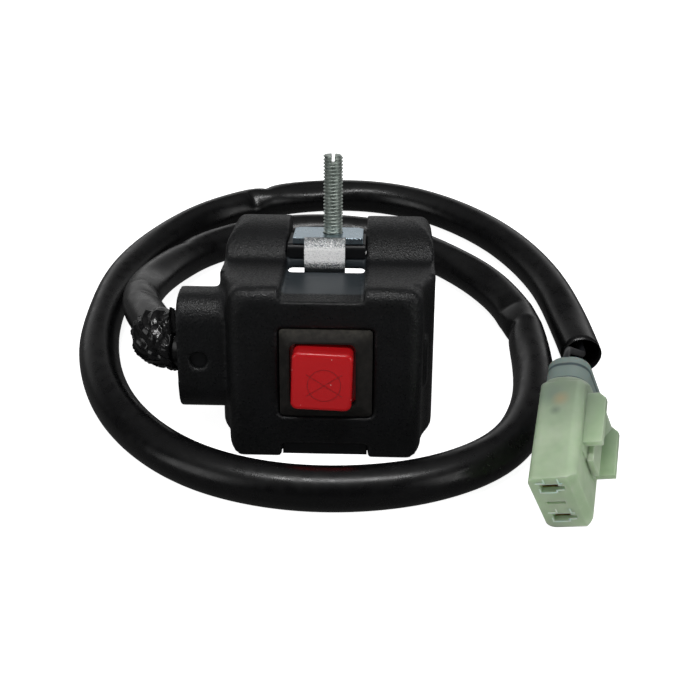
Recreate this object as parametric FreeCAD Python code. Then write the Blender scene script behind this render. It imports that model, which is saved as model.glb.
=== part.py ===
import FreeCAD, Part
import math
import os

# Engine kill switch for a 22.2 mm handlebar, with its cable and plug, in millimetres.
# X runs along the handlebar, Y from the push button to the rider's far side, Z up.
# The origin is on the handlebar's axis, halfway along the seat.
# The housing is drawn upright about that axis and then leaned back onto its flat underside.

V = FreeCAD.Vector
ORIGIN = V(0, 0, 0)
ALONG_X = V(1, 0, 0)
ALONG_Y = V(0, 1, 0)
ALONG_Z = V(0, 0, 1)

# Handlebar seat and cheeks
LEAN_DEG = 12.5
BAR_R = 11.11
SEAT_CLEARANCE = 0.04
SEAT_R = BAR_R + SEAT_CLEARANCE
RING_R = 16.3
CHEEK_HALF = 21.0
CHEEK_CORNER_R = 4.5
CHEEK_REAR_Y = 6.0
VALLEY_R = 3.5
FLARE_START_Y = -27.0
FLARE_END_Y = -18.5

# Front block
FRONT_Y = -31.5
REAR_WALL_Y = -13.5
BLOCK_HALF = 18.6
BLOCK_TOP_Z = 10.4
BLOCK_CORNER_R = 3.2
BLOCK_EDGE_R = 3.0
SHOULDER_R = 3.0
SLOT_X = -0.6
SLOT_HALF = 7.95
SLOT_FRONT_Z = 7.9
SLOT_REAR_Z = 8.6
CROSSBAR_DEPTH = 2.0
CROSSBAR_HEIGHT = 2.1
SIDE_PAD_THICK = 1.1
SIDE_PAD_Z = (-11.1, -0.4)
SIDE_PAD_Y = (-26.5, -17.0)
SIDE_PAD_CORNER_R = 1.6
SIDE_PAD_EDGE_R = 0.88

# Button recess and switch chamber
RECESS = 18.0
RECESS_X = 0.25
RECESS_DEPTH = 3.2
RECESS_Z = -6.2
RECESS_CORNER_R = 0.8
CHAMBER = 15.4
REAR_WALL = 2.0
HATCH_HALF = 5.8

# Button
CAP = 11.4
CAP_X = -0.3
CAP_CORNER_R = 1.3
CAP_EDGE_R = 0.7
CAP_PROUD = 4.5
CAP_TURN_DEG = 2.0
CAP_FLANGE = 13.2
CAP_FLANGE_THICK = 0.8
CAP_FLANGE_Y = FRONT_Y + 1.0
TRAVEL = 3.3
FRAME_GAP = 0.2
FRAME_OPENING = 12.5
FRAME_LIP = 0.4
FRAME_EDGE_SET = 0.35
FRAME_RISE = 1.2
FRAME_CAVITY = 14.3
PLUNGER_R = 2.6
STEM_R = 2.0
SLIDE_CLEARANCE = 0.05
STEM_SET = 0.3

# Contacts and spring
BASE_THICK = 5.0
BASE_GAP = 0.2
CONTACT_X = 5.2
STRIP_WIDTH = 2.4
STRIP_THICK = 0.5
STRIP_TOP = 6.8
RIVET_R = 1.0
RIVET_HEIGHT = 0.4
CONTACT_OVERTRAVEL = 0.1
BRIDGE_HEIGHT = 2.4
BRIDGE_COLLAR = 0.6
SPRING_WIRE_R = 0.2
SPRING_R = 2.4
SPRING_TURNS = 3.0

# Cable outlet, pin and wires
OUTLET_END_X = -28.6
OUTLET_TOP_Z = 7.1
OUTLET_BOTTOM_Z = -16.4
OUTLET_FRONT_Y = -28.0
OUTLET_REAR_Y = -15.0
OUTLET_CORNER_R = 5.4
CABLE_Z = -5.4
CABLE_R = 4.25
CABLE_FIT = 0.1
CABLE_START_X = -18.2
OUTLET_MOUTH_DEPTH = 3.4
OUTLET_MOUTH_FLARE = 1.0
PIN_R = 1.65
PIN_X = -24.5
PIN_SET = 1.0
WIRE_R = 0.65
WIRE_RISE = 1.25
WIRE_SPACING = 1.4

# Underside cover
COVER_THICK = 1.9
COVER_GAP = 0.15
COVER_HALF = 13.0
COVER_CORNER_R = 2.0
NOTCH_HALF = 8.3
NOTCH_HEIGHT = 3.0
NOTCH_DEPTH = 2.4
TAB_LAP = 1.5
TAB_SET = 1.2
SCREW_X = 10.2
SCREW_BACK = 6.0
SCREW_HEAD_R = 1.9
SCREW_R = 0.95
SCREW_LENGTH = 7.0
SCREW_FIT = 0.05
SCREW_TIP_GAP = 0.3
CROSS_HALF = 1.1
CROSS_THICK = 0.5
CROSS_DEPTH = 0.7

# Clamp strap, its screw and pressure pad
STRAP_THICK = 1.2
STRAP_HALF = 4.05
NECK_X = -0.9
STRAP_GAP = 0.3
STRAP_BEND_R = 1.0
HOOK_END_DEG = -55.0
PLATE_HALF = 7.0
PLATE_X = -0.35
PLATE_REAR_Y = -2.6
PLATE_CORNER = 1.0
WING_LEAD = 0.4
PAD_THICK = 2.8
PAD_SET = 0.1
PAD_HALF = 6.9
PAD_BAR_GAP = 0.35
PAD_EDGE_R = 1.1
STUD_R = 1.97
STUD_X = 0.5
STUD_ABOVE = 15.6
STUD_FIT = 0.05
STUD_CHAMFER = 0.35
DRIVER_SLOT = 0.7
DRIVER_DEPTH = 1.7

# Tape round the cable's root
TAPE_R = 5.9
TAPE_NECK_R = 5.1
TAPE_GAP = 0.15
TAPE_FIT = 0.04
TAPE_NECK_SHARE = 0.5

# The cable sleeve's open end, its wires, and how far bends start from their corners
SLEEVE_BORE_R = 3.4
MOUTH_DEPTH = 9.0
WIRE_SETBACK = 3.6
WIRE_APART = 1.3
WIRE_LEAVE = 1.5
SETBACK_SHARE = 0.45

# Plug, drawn with its mating face at y = 0 and its wires leaving towards +Y
PLUG_LENGTH = 22.2
PLUG_HEIGHT = 15.2
PLUG_WIDTH = 8.4
PLUG_SHIFT = 0.8
PLUG_CORNER_R = 1.6
PLUG_CHAMFER = 1.3
PLUG_REAR_LENGTH = 14.8
PLUG_REAR_STEP = 0.3
PLUG_REAR_R = 3.9
SEAL_LENGTH = 5.6
SEAL_STEP = 0.5
SEAL_INSERT = 3.0
SEAL_WALL = 1.3
SEAL_FIT = 0.1
SEAL_EDGE_R = 0.8
CAVITY_PITCH = 8.9
CAVITY_WIDTH = 3.3
CAVITY_HEIGHT = 2.1
CAVITY_DEPTH = 8.0
KEY_SIZE = 1.0
KEY_SLOT = (3.4, 0.9, 6.0)
RAIL_OUT_X = 8.5
RAIL_THICK = 1.2
RAIL_LENGTH = 11.0
RAIL_CORNER = 1.3
RAIL_Y = 9.0
RAIL_TOPS_Z = (-5.0, 5.1)
LATCH_THICK = 1.1
LATCH_HEIGHT = 4.6
LATCH_LENGTH = 12.0
LATCH_END_Y = 19.0
LATCH_RISE = 1.6
LATCH_GAP = 0.05
WEDGE_START = 4.0
WEDGE_TIP = 1.5
TERMINAL_WALL = 0.3
TERMINAL_GAP = 0.1
TERMINAL_SET = 1.0
CRIMP_WALL = 0.25
CRIMP_LENGTH = 3.0
PLUG_ROLL_DEG = -18.5
PLUG_PITCH_DEG = 17.0
PLUG_YAW_DEG = -11.1
PLUG_FACE = V(41.5, -56.9, -8.6)

LEAN = math.radians(LEAN_DEG)
GROUND_Z = -RING_R
CENTRE_Z = GROUND_Z + CABLE_R


def box(x, y, z):
    """A box from three (low, high) pairs."""
    return Part.makeBox(x[1] - x[0], y[1] - y[0], z[1] - z[0], V(x[0], y[0], z[0]))


def rod(radius, start, end):
    """A round rod between two points."""
    return Part.makeCylinder(radius, (end - start).Length, start, end - start)


def lean(shape):
    """Turns a shape about the handlebar's axis, from upright to leaning back."""
    turned = shape.copy()
    turned.rotate(ORIGIN, ALONG_X, -LEAN_DEG)
    return turned


def underside(y):
    """Height of the flat underside in the upright housing."""
    return (-RING_R + y * math.sin(LEAN)) / math.cos(LEAN)


def polygon(points):
    """A flat face from its corners."""
    return Part.Face(Part.makePolygon(points + [points[0]]))


def rounded_rectangle(width, height, radius, centre, right, up):
    """A rounded rectangle face on the plane of two unit directions."""
    half_w, half_h = width / 2, height / 2
    edges = []
    corners = [(1, -1, -90), (1, 1, 0), (-1, 1, 90), (-1, -1, 180)]
    ends = []
    for sx, sz, start in corners:
        mid = centre + right * (sx * (half_w - radius)) + up * (sz * (half_h - radius))
        arc_points = []
        for angle in (start, start + 45, start + 90):
            a = math.radians(angle)
            arc_points.append(mid + right * (radius * math.cos(a)) + up * (radius * math.sin(a)))
        ends.append(arc_points)
    for i, arc_points in enumerate(ends):
        edges.append(Part.Arc(*arc_points).toShape())
        edges.append(Part.LineSegment(arc_points[2], ends[(i + 1) % 4][0]).toShape())
    return Part.Face(Part.Wire(edges))


def arc_point(centre, radius, degrees, plane):
    """A point of a circle in the YZ or the XY plane."""
    a = math.radians(degrees)
    if plane == "YZ":
        return centre + V(0, radius * math.cos(a), radius * math.sin(a))
    return centre + V(radius * math.cos(a), radius * math.sin(a), 0)


def arc_edge(centre, radius, start, end, plane):
    """An arc between two angles in degrees."""
    points = [arc_point(centre, radius, angle, plane) for angle in (start, (start + end) / 2, end)]
    return Part.Arc(*points).toShape()


def chain(parts):
    """Joins arcs and loose points, in order, into one closed face."""
    edges = []
    last = None
    first = None
    for item in parts:
        start = item if isinstance(item, FreeCAD.Vector) else item.Vertexes[0].Point
        if last is not None and (start - last).Length > 1e-6:
            edges.append(Part.LineSegment(last, start).toShape())
        if first is None:
            first = start
        if isinstance(item, FreeCAD.Vector):
            last = item
        else:
            edges.append(item)
            last = item.Vertexes[-1].Point
    if (first - last).Length > 1e-6:
        edges.append(Part.LineSegment(last, first).toShape())
    return Part.Face(Part.Wire(edges))


def extrude_x(face, half):
    """Extrudes a YZ face drawn at x = 0 both ways."""
    moved = face.copy()
    moved.translate(V(-half, 0, 0))
    return moved.extrude(V(2 * half, 0, 0))


def block_body():
    """The front block: its side outline crossed with rounded front and plan outlines."""
    corner = V(0, FRONT_Y + SHOULDER_R, BLOCK_TOP_Z - SHOULDER_R)
    side = chain([
        V(0, FRONT_Y, underside(FRONT_Y)),
        arc_edge(corner, SHOULDER_R, 180, 90, "YZ"),
        V(0, REAR_WALL_Y, BLOCK_TOP_Z),
        V(0, REAR_WALL_Y, underside(REAR_WALL_Y)),
    ])
    low = underside(FRONT_Y)
    height = BLOCK_TOP_Z - low
    centre = V(0, FRONT_Y - 1, (BLOCK_TOP_Z + low) / 2)
    front = rounded_rectangle(2 * BLOCK_HALF, height, BLOCK_CORNER_R, centre, ALONG_X, ALONG_Z)
    depth = REAR_WALL_Y - FRONT_Y + 2
    length = depth + 2 * BLOCK_EDGE_R
    middle = V(0, FRONT_Y + length / 2, low - 1)
    plan = rounded_rectangle(2 * BLOCK_HALF, length, BLOCK_EDGE_R, middle, ALONG_X, ALONG_Y)
    edges_round = plan.extrude(V(0, 0, height + 2))
    return extrude_x(side, BLOCK_HALF).common(front.extrude(V(0, depth, 0))).common(edges_round)


def cheek_side_outline():
    """Side outline of the cheeks: underside, ring, valley and block top."""
    valley_z = BLOCK_TOP_Z + VALLEY_R
    reach = RING_R + VALLEY_R
    valley = V(0, -math.sqrt(reach ** 2 - valley_z ** 2), valley_z)
    meet_deg = math.degrees(math.atan2(valley.z, valley.y))
    return chain([
        V(0, FLARE_START_Y, underside(FLARE_START_Y)),
        arc_edge(ORIGIN, RING_R, -90 + LEAN_DEG, 0, "YZ"),
        arc_edge(ORIGIN, RING_R, 0, meet_deg, "YZ"),
        arc_edge(valley, VALLEY_R, meet_deg - 180, -90, "YZ"),
        V(0, FLARE_START_Y, BLOCK_TOP_Z),
    ])


def cheek_plan_outline():
    """Plan of the right-hand flare, an S of two equal arcs from the block to the cheek."""
    widen = CHEEK_HALF - BLOCK_HALF
    run = FLARE_END_Y - FLARE_START_Y
    radius = (widen ** 2 + run ** 2) / (4 * widen)
    sweep = math.degrees(math.asin(run / 2 / radius))
    outer = V(BLOCK_HALF + radius, FLARE_START_Y, 0)
    inner = V(CHEEK_HALF - radius, FLARE_END_Y, 0)
    return chain([
        V(SLOT_HALF + SLOT_X, FLARE_START_Y, 0),
        arc_edge(outer, radius, 180, 180 - sweep, "XY"),
        arc_edge(inner, radius, -sweep, 0, "XY"),
        V(CHEEK_HALF, CHEEK_REAR_Y, 0),
        V(SLOT_HALF + SLOT_X, CHEEK_REAR_Y, 0),
    ])


def cheeks():
    """Two C-shaped cheeks that carry the handlebar seat, open at the back."""
    span = 3 * RING_R
    plan = cheek_plan_outline()
    plan.translate(V(0, 0, -span / 2))
    right = plan.extrude(V(0, 0, span))
    front = rounded_rectangle(2 * CHEEK_HALF, 2 * RING_R, CHEEK_CORNER_R, V(0, -span, 0), ALONG_X, ALONG_Z)
    lower = box((-CHEEK_HALF, CHEEK_HALF), (-span, span), (-span, 0))
    rounded = front.extrude(V(0, 2 * span, 0)).fuse(lower)
    right = right.common(extrude_x(cheek_side_outline(), CHEEK_HALF)).common(rounded)
    left = right.mirror(ORIGIN, ALONG_X)
    return [right, left]


def seat_cut():
    """The half-round handlebar seat with straight walls out of the back."""
    length = 2 * CHEEK_HALF + 2
    bore = Part.makeCylinder(SEAT_R, length, V(-length / 2, 0, 0), ALONG_X)
    way_out = box((-length / 2, length / 2), (0, 2 * RING_R), (-SEAT_R, SEAT_R))
    return bore.fuse(way_out)


def square_prism(size, radius, y_start, y_end, x_centre):
    """A rounded square prism along Y at the recess's height."""
    face = rounded_rectangle(size, size, radius, V(x_centre, y_start, RECESS_Z), ALONG_X, ALONG_Z)
    return face.extrude(V(0, y_end - y_start, 0))


def slot_limits(margin=0):
    """Low and high x of the strap's slot, wider each way by a margin."""
    return SLOT_X - SLOT_HALF - margin, SLOT_X + SLOT_HALF + margin


def cable_y():
    """Depth of the cable's axis in the outlet."""
    return (OUTLET_FRONT_Y + OUTLET_REAR_Y) / 2


def outlet_solid():
    """The cable outlet's rounded box."""
    centre = V(OUTLET_END_X, cable_y(), (OUTLET_TOP_Z + OUTLET_BOTTOM_Z) / 2)
    width = OUTLET_REAR_Y - OUTLET_FRONT_Y
    height = OUTLET_TOP_Z - OUTLET_BOTTOM_Z
    face = rounded_rectangle(width, height, OUTLET_CORNER_R, centre, ALONG_Y, ALONG_Z)
    # It reaches 2 mm into the block.
    return face.extrude(V(-BLOCK_HALF + 2 - OUTLET_END_X, 0, 0))


def side_pad():
    """Raised pad on the right side of the block."""
    width = SIDE_PAD_Y[1] - SIDE_PAD_Y[0]
    height = SIDE_PAD_Z[1] - SIDE_PAD_Z[0]
    centre = V(BLOCK_HALF - 1, sum(SIDE_PAD_Y) / 2, sum(SIDE_PAD_Z) / 2)
    face = rounded_rectangle(width, height, SIDE_PAD_CORNER_R, centre, ALONG_Y, ALONG_Z)
    pad = face.extrude(V(1 + SIDE_PAD_THICK, 0, 0))
    outer = [e for e in pad.Edges if e.BoundBox.XMin > BLOCK_HALF + SIDE_PAD_THICK - 0.01]
    return pad.makeFillet(SIDE_PAD_EDGE_R, outer)


def chamber_rear_y():
    """Rear wall of the switch chamber."""
    return REAR_WALL_Y - REAR_WALL


def chamber_cut():
    """Recess in the front face, the chamber behind it and the hatch through the underside."""
    recess = square_prism(RECESS, RECESS_CORNER_R, FRONT_Y - 1, FRONT_Y + RECESS_DEPTH, RECESS_X)
    chamber = square_prism(CHAMBER, RECESS_CORNER_R, FRONT_Y, chamber_rear_y(), CAP_X)
    hatch = box((CAP_X - HATCH_HALF, CAP_X + HATCH_HALF), (FRONT_Y + RECESS_DEPTH, chamber_rear_y()),
                (underside(FRONT_Y) - 1, RECESS_Z))
    return recess.fuse([chamber, hatch])


def cable_cut():
    """Bore for the cable with a flared mouth, and the smaller one for its wires, into the chamber."""
    y = cable_y()
    bore_r = CABLE_R + CABLE_FIT
    wide = rod(bore_r, V(OUTLET_END_X - 1, y, CABLE_Z), V(CABLE_START_X, y, CABLE_Z))
    narrow = rod(SLEEVE_BORE_R, V(OUTLET_END_X, y, CABLE_Z), V(-CHAMBER / 2 + 1, y, CABLE_Z))
    end = V(OUTLET_END_X, y, CABLE_Z)
    mouth = Part.makeCone(bore_r + OUTLET_MOUTH_FLARE, bore_r, OUTLET_MOUTH_DEPTH, end, ALONG_X)
    return wide.fuse([narrow, mouth])


def cover_plate(gap):
    """Plate of the underside cover in the leaned frame, smaller by a gap all round."""
    front_y = lean(Part.Vertex(0, FRONT_Y, underside(FRONT_Y))).Point.y
    rear_y = lean(Part.Vertex(0, chamber_rear_y(), underside(chamber_rear_y()))).Point.y
    width = 2 * (COVER_HALF - gap)
    depth = rear_y - front_y - NOTCH_DEPTH - 2 * gap
    centre = V(0, (front_y + NOTCH_DEPTH + rear_y) / 2, GROUND_Z)
    face = rounded_rectangle(width, depth, COVER_CORNER_R, centre, ALONG_X, ALONG_Y)
    return face.extrude(V(0, 0, COVER_THICK))


def cover_tab(gap, set_back):
    """The cover's front tab, which fills the notch in the front face."""
    low = underside(FRONT_Y)
    # The tab runs back past the notch until it joins the plate.
    deep = NOTCH_DEPTH + TAB_LAP
    shape = box((-NOTCH_HALF + gap, NOTCH_HALF - gap), (FRONT_Y + set_back, FRONT_Y + deep),
                (low - 1, low + NOTCH_HEIGHT - gap))
    ground = box((-RING_R, RING_R), (-3 * RING_R, 0), (GROUND_Z, GROUND_Z + 2 * RING_R))
    return lean(shape).common(ground)


def cover_screw_places():
    """Tops of the two cover screws' heads on the ground plane."""
    front_y = lean(Part.Vertex(0, FRONT_Y, underside(FRONT_Y))).Point.y
    return [V(side * SCREW_X, front_y + NOTCH_DEPTH + SCREW_BACK, GROUND_Z) for side in (-1, 1)]


def screw_solid(place, radius, head_radius, length):
    """A countersunk screw pointing up from the underside."""
    head_height = head_radius - radius
    head = Part.makeCone(head_radius, radius, head_height, place, ALONG_Z)
    return head.fuse(Part.makeCylinder(radius, length, place, ALONG_Z))


def crossbar_y():
    """Front of the crossbar, one strap and two gaps behind the block's rear wall."""
    return REAR_WALL_Y + STRAP_THICK + 2 * STRAP_GAP


def crossbar():
    """Bar from cheek to cheek that the clamp pad stands on."""
    y = crossbar_y()
    return box(slot_limits(1), (y, y + CROSSBAR_DEPTH), (SLOT_REAR_Z, crossbar_top()))


def make_housing():
    """One moulding: block, cheeks, crossbar, side pad and cable outlet."""
    outer = block_body().fuse(cheeks() + [side_pad(), outlet_solid()])
    slot = polygon([
        V(0, FRONT_Y, SLOT_FRONT_Z), V(0, REAR_WALL_Y, SLOT_REAR_Z),
        V(0, REAR_WALL_Y, RING_R + 1), V(0, FRONT_Y, RING_R + 1),
    ])
    slot = extrude_x(slot, SLOT_HALF)
    slot.translate(V(SLOT_X, 0, 0))
    channel = box(slot_limits(), (REAR_WALL_Y, RING_R), (-2 * RING_R, RING_R + 1))
    body = outer.cut([slot, channel]).fuse(crossbar()).cut(seat_cut())
    low = underside(FRONT_Y)
    notch = box((-NOTCH_HALF, NOTCH_HALF), (FRONT_Y - 1, FRONT_Y + NOTCH_DEPTH + TAB_LAP),
                (low - 1, low + NOTCH_HEIGHT))
    pin_hole = rod(PIN_R, V(PIN_X, OUTLET_FRONT_Y - 1, CABLE_Z), V(PIN_X, cable_y(), CABLE_Z))
    body = body.cut([chamber_cut(), cable_cut(), notch, pin_hole])
    body = lean(body)
    pocket = cover_plate(0)
    screws = [screw_solid(place, SCREW_R + SCREW_FIT, SCREW_HEAD_R + SCREW_FIT, SCREW_LENGTH)
              for place in cover_screw_places()]
    return body.cut([pocket] + screws).removeSplitter()


def make_cover():
    """Cover of the switch chamber, let into the underside."""
    cover = cover_plate(COVER_GAP).fuse(cover_tab(COVER_GAP, TAB_SET))
    holes = [screw_solid(place, SCREW_R + SCREW_FIT, SCREW_HEAD_R + SCREW_FIT, SCREW_LENGTH)
             for place in cover_screw_places()]
    return cover.cut(holes).removeSplitter()


def make_cover_screws():
    """Two countersunk screws with a cross slot."""
    screws = []
    for place in cover_screw_places():
        screw = screw_solid(place, SCREW_R, SCREW_HEAD_R, SCREW_LENGTH - SCREW_TIP_GAP)
        for along, across in ((CROSS_HALF, CROSS_THICK / 2), (CROSS_THICK / 2, CROSS_HALF)):
            screw = screw.cut(box((place.x - along, place.x + along), (place.y - across, place.y + across),
                                  (place.z, place.z + CROSS_DEPTH)))
        screws.append(screw)
    return Part.makeCompound(screws)


def make_button_frame():
    """Rubber frame round the button: a low pyramid with mitred corners and a hollow back."""
    outer_y = FRONT_Y + FRAME_EDGE_SET
    size = RECESS - 2 * FRAME_GAP
    back_y = FRONT_Y + RECESS_DEPTH
    rim = square_prism(size, RECESS_CORNER_R, outer_y, back_y, RECESS_X)
    base = rounded_rectangle(size, size, RECESS_CORNER_R, V(RECESS_X, outer_y, RECESS_Z), ALONG_X, ALONG_Z)
    top_size = FRAME_OPENING + 2 * FRAME_LIP
    top_centre = V(CAP_X, outer_y - FRAME_RISE, RECESS_Z)
    top = rounded_rectangle(top_size, top_size, CAP_CORNER_R, top_centre, ALONG_X, ALONG_Z)
    pyramid = Part.makeLoft([base.OuterWire, top.OuterWire], True, True)
    opening = square_prism(FRAME_OPENING, CAP_CORNER_R, outer_y - 2 * FRAME_RISE, back_y + 1, CAP_X)
    cavity = square_prism(FRAME_CAVITY, RECESS_CORNER_R, CAP_FLANGE_Y, back_y + 1, CAP_X)
    return lean(rim.fuse(pyramid).cut([opening, cavity]).removeSplitter())


def make_button_cap():
    """Square push button with a flange that stops it behind the frame."""
    front_y = FRONT_Y - CAP_PROUD
    cap = square_prism(CAP, CAP_CORNER_R, front_y, CAP_FLANGE_Y + CAP_FLANGE_THICK, CAP_X)
    edges = [e for e in cap.Edges if e.BoundBox.YMax < front_y + 0.01]
    cap = cap.makeFillet(CAP_EDGE_R, edges)
    flange = square_prism(CAP_FLANGE, CAP_CORNER_R, CAP_FLANGE_Y, CAP_FLANGE_Y + CAP_FLANGE_THICK, CAP_X)
    cap = cap.fuse(flange).removeSplitter()
    cap.rotate(V(CAP_X, 0, RECESS_Z), ALONG_Y, CAP_TURN_DEG)
    return lean(cap)


def base_front_y():
    """Front face of the contact base."""
    return chamber_rear_y() - BASE_THICK


def bridge_y():
    """Front of the contact bridge at rest, its gap being the travel and a little more."""
    fixed = base_front_y() - STRIP_THICK - RIVET_HEIGHT
    return fixed - TRAVEL - CONTACT_OVERTRAVEL - RIVET_HEIGHT - STRIP_THICK


def make_plunger():
    """Stem behind the cap: a thick part up to the bridge and a thin one in the base's guide."""
    start = CAP_FLANGE_Y + CAP_FLANGE_THICK
    thick = rod(PLUNGER_R, V(CAP_X, start, RECESS_Z), V(CAP_X, bridge_y(), RECESS_Z))
    guided = chamber_rear_y() - TRAVEL - STEM_SET
    thin = rod(STEM_R, V(CAP_X, bridge_y(), RECESS_Z), V(CAP_X, guided, RECESS_Z))
    return lean(thick.fuse(thin).removeSplitter())


def make_contact_bridge():
    """Brass bar on the plunger with a rivet at each end."""
    y = bridge_y()
    half = BRIDGE_HEIGHT / 2
    length = CONTACT_X + STRIP_WIDTH / 2
    back = y + STRIP_THICK
    bar = box((CAP_X - length, CAP_X + length), (y, back), (RECESS_Z - half, RECESS_Z + half))
    collar = rod(STEM_R + BRIDGE_COLLAR, V(CAP_X, y, RECESS_Z), V(CAP_X, back, RECESS_Z))
    rivets = [rod(RIVET_R, V(x, back, RECESS_Z), V(x, back + RIVET_HEIGHT, RECESS_Z))
              for x in (CAP_X - CONTACT_X, CAP_X + CONTACT_X)]
    hole = rod(STEM_R, V(CAP_X, y - 1, RECESS_Z), V(CAP_X, back + 1, RECESS_Z))
    return lean(bar.fuse([collar] + rivets).cut(hole).removeSplitter())


def make_contact_base():
    """Insulating block at the back of the chamber that guides the plunger."""
    size = CHAMBER - 2 * BASE_GAP
    base = square_prism(size, RECESS_CORNER_R, base_front_y(), chamber_rear_y(), CAP_X)
    start, end = V(CAP_X, base_front_y() - 1, RECESS_Z), V(CAP_X, chamber_rear_y() + 1, RECESS_Z)
    return lean(base.cut(rod(STEM_R + SLIDE_CLEARANCE, start, end)))


def make_fixed_contact(side):
    """Brass strip on the base with a rivet below and a solder tab above."""
    x = CAP_X + side * CONTACT_X
    y = base_front_y()
    face = y - STRIP_THICK
    half = STRIP_WIDTH / 2
    strip = box((x - half, x + half), (face, y), (RECESS_Z - half, RECESS_Z + STRIP_TOP))
    rivet = rod(RIVET_R, V(x, face - RIVET_HEIGHT, RECESS_Z), V(x, face, RECESS_Z))
    return lean(strip.fuse(rivet).removeSplitter())


def wire_heights():
    """Heights of the left and right contact's wires, one above the other."""
    return {-1: CABLE_Z + WIRE_RISE, 1: CABLE_Z + WIRE_RISE + WIRE_SPACING}


def make_lead_wire(side):
    """Wire from a fixed contact's tab straight out to the cable, lying on the tab's face."""
    y = base_front_y() - STRIP_THICK - WIRE_R
    z = wire_heights()[side]
    end = CAP_X + side * CONTACT_X + STRIP_WIDTH / 2
    return lean(rod(WIRE_R, V(CABLE_START_X, y, z), V(end, y, z)))


def make_return_spring():
    """Coil spring round the stem between the bridge and the base."""
    start = bridge_y() + STRIP_THICK + SPRING_WIRE_R
    length = base_front_y() - SPRING_WIRE_R - start
    helix = Part.makeHelix(length / SPRING_TURNS, length, SPRING_R)
    profile = Part.Wire(Part.makeCircle(SPRING_WIRE_R, V(SPRING_R, 0, 0), ALONG_Y))
    coil = Part.Wire(helix.Edges).makePipeShell([profile], True, True)
    coil.rotate(ORIGIN, ALONG_X, -90)
    coil.translate(V(CAP_X, start, RECESS_Z))
    return lean(coil)


def make_outlet_pin():
    """Pin across the outlet that holds the cable."""
    front_y = OUTLET_FRONT_Y + PIN_SET
    return lean(rod(PIN_R, V(PIN_X, front_y, CABLE_Z), V(PIN_X, cable_y() - CABLE_R - CABLE_FIT, CABLE_Z)))


def strap_y():
    """Front face of the strap's straight leg."""
    return REAR_WALL_Y + STRAP_GAP


def hook_radii():
    """Outer and inner radius of the strap's hook about the handlebar's axis."""
    outer = -strap_y()
    return outer, outer - STRAP_THICK


def crossbar_top():
    """Top of the crossbar, which starts at the slot floor's rear edge."""
    return SLOT_REAR_Z + CROSSBAR_HEIGHT


def pad_levels():
    """Bottom and top of the pad."""
    low = crossbar_top() + PAD_SET
    return low, low + PAD_THICK


def plate_levels():
    """Bottom and top of the strap's plate at rest on the pad."""
    low = pad_levels()[1] + PAD_SET
    return low, low + STRAP_THICK


def strap_side_outline():
    """Side outline of plate, bend, leg and hook as one bent sheet."""
    low, top = plate_levels()
    outer, inner = hook_radii()
    bend = V(0, -outer + STRAP_THICK + STRAP_BEND_R, low - STRAP_BEND_R)
    return chain([
        V(0, PLATE_REAR_Y, top),
        arc_edge(bend, STRAP_BEND_R + STRAP_THICK, 90, 180, "YZ"),
        arc_edge(ORIGIN, outer, 180, 270, "YZ"),
        arc_edge(ORIGIN, outer, 270, 360 + HOOK_END_DEG, "YZ"),
        arc_edge(ORIGIN, inner, 360 + HOOK_END_DEG, 270, "YZ"),
        arc_edge(ORIGIN, inner, 270, 180, "YZ"),
        arc_edge(bend, STRAP_BEND_R, 180, 90, "YZ"),
        V(0, PLATE_REAR_Y, low),
    ])


def stud_y():
    """The stud stands in the middle of the plate's flat."""
    return (strap_y() + STRAP_THICK + STRAP_BEND_R + PLATE_REAR_Y) / 2


def make_clamp_strap():
    """Bent steel strap: T-shaped plate on top, leg through the slot, hook under the handlebar."""
    sheet = extrude_x(strap_side_outline(), PLATE_HALF)
    sheet.translate(V(PLATE_X, 0, 0))
    low, top = plate_levels()
    wing_front = strap_y() + STRAP_THICK + STRAP_BEND_R - WING_LEAD
    c = PLATE_CORNER
    plate = polygon([
        V(-PLATE_HALF, wing_front, 0), V(PLATE_HALF, wing_front, 0),
        V(PLATE_HALF, PLATE_REAR_Y - c, 0), V(PLATE_HALF - c, PLATE_REAR_Y, 0),
        V(-PLATE_HALF + c, PLATE_REAR_Y, 0), V(-PLATE_HALF, PLATE_REAR_Y - c, 0),
    ])
    plate.translate(V(PLATE_X, 0, low - 0.01))
    plate_zone = plate.extrude(V(0, 0, STRAP_THICK + 0.02))
    leg_zone = box((NECK_X - STRAP_HALF, NECK_X + STRAP_HALF), (-RING_R, RING_R), (-RING_R, top + 1))
    strap = sheet.common(plate_zone.fuse(leg_zone))
    hole = rod(STUD_R + STUD_FIT, V(STUD_X, stud_y(), low - 1), V(STUD_X, stud_y(), top + 1))
    return lean(strap.cut(hole).removeSplitter())


def make_clamp_screw():
    """Headless screw with a driver slot, threaded through the plate onto the pad."""
    low = pad_levels()[1]
    top = plate_levels()[1] + STUD_ABOVE
    stud = Part.makeCylinder(STUD_R, top - low, V(STUD_X, stud_y(), low))
    edges = [e for e in stud.Edges if e.BoundBox.ZLength < 0.01]
    stud = stud.makeChamfer(STUD_CHAMFER, edges)
    slot = box((STUD_X - DRIVER_SLOT / 2, STUD_X + DRIVER_SLOT / 2),
               (stud_y() - 2 * STUD_R, stud_y() + 2 * STUD_R), (top - DRIVER_DEPTH, top + 1))
    return lean(stud.cut(slot))


def make_clamp_pad():
    """Pressure pad on the crossbar, hollowed to clear the handlebar."""
    low, top = pad_levels()
    pad = box((PLATE_X - PAD_HALF, PLATE_X + PAD_HALF), (crossbar_y(), PLATE_REAR_Y), (low, top))
    edges = [e for e in pad.Edges if e.BoundBox.ZMin > top - 0.01 and e.BoundBox.YMax < crossbar_y() + 0.01]
    pad = pad.makeFillet(PAD_EDGE_R, edges)
    hollow = Part.makeCylinder(BAR_R + PAD_BAR_GAP, 4 * PAD_HALF, V(-2 * PAD_HALF, 0, 0), ALONG_X)
    return lean(pad.cut(hollow))


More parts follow.
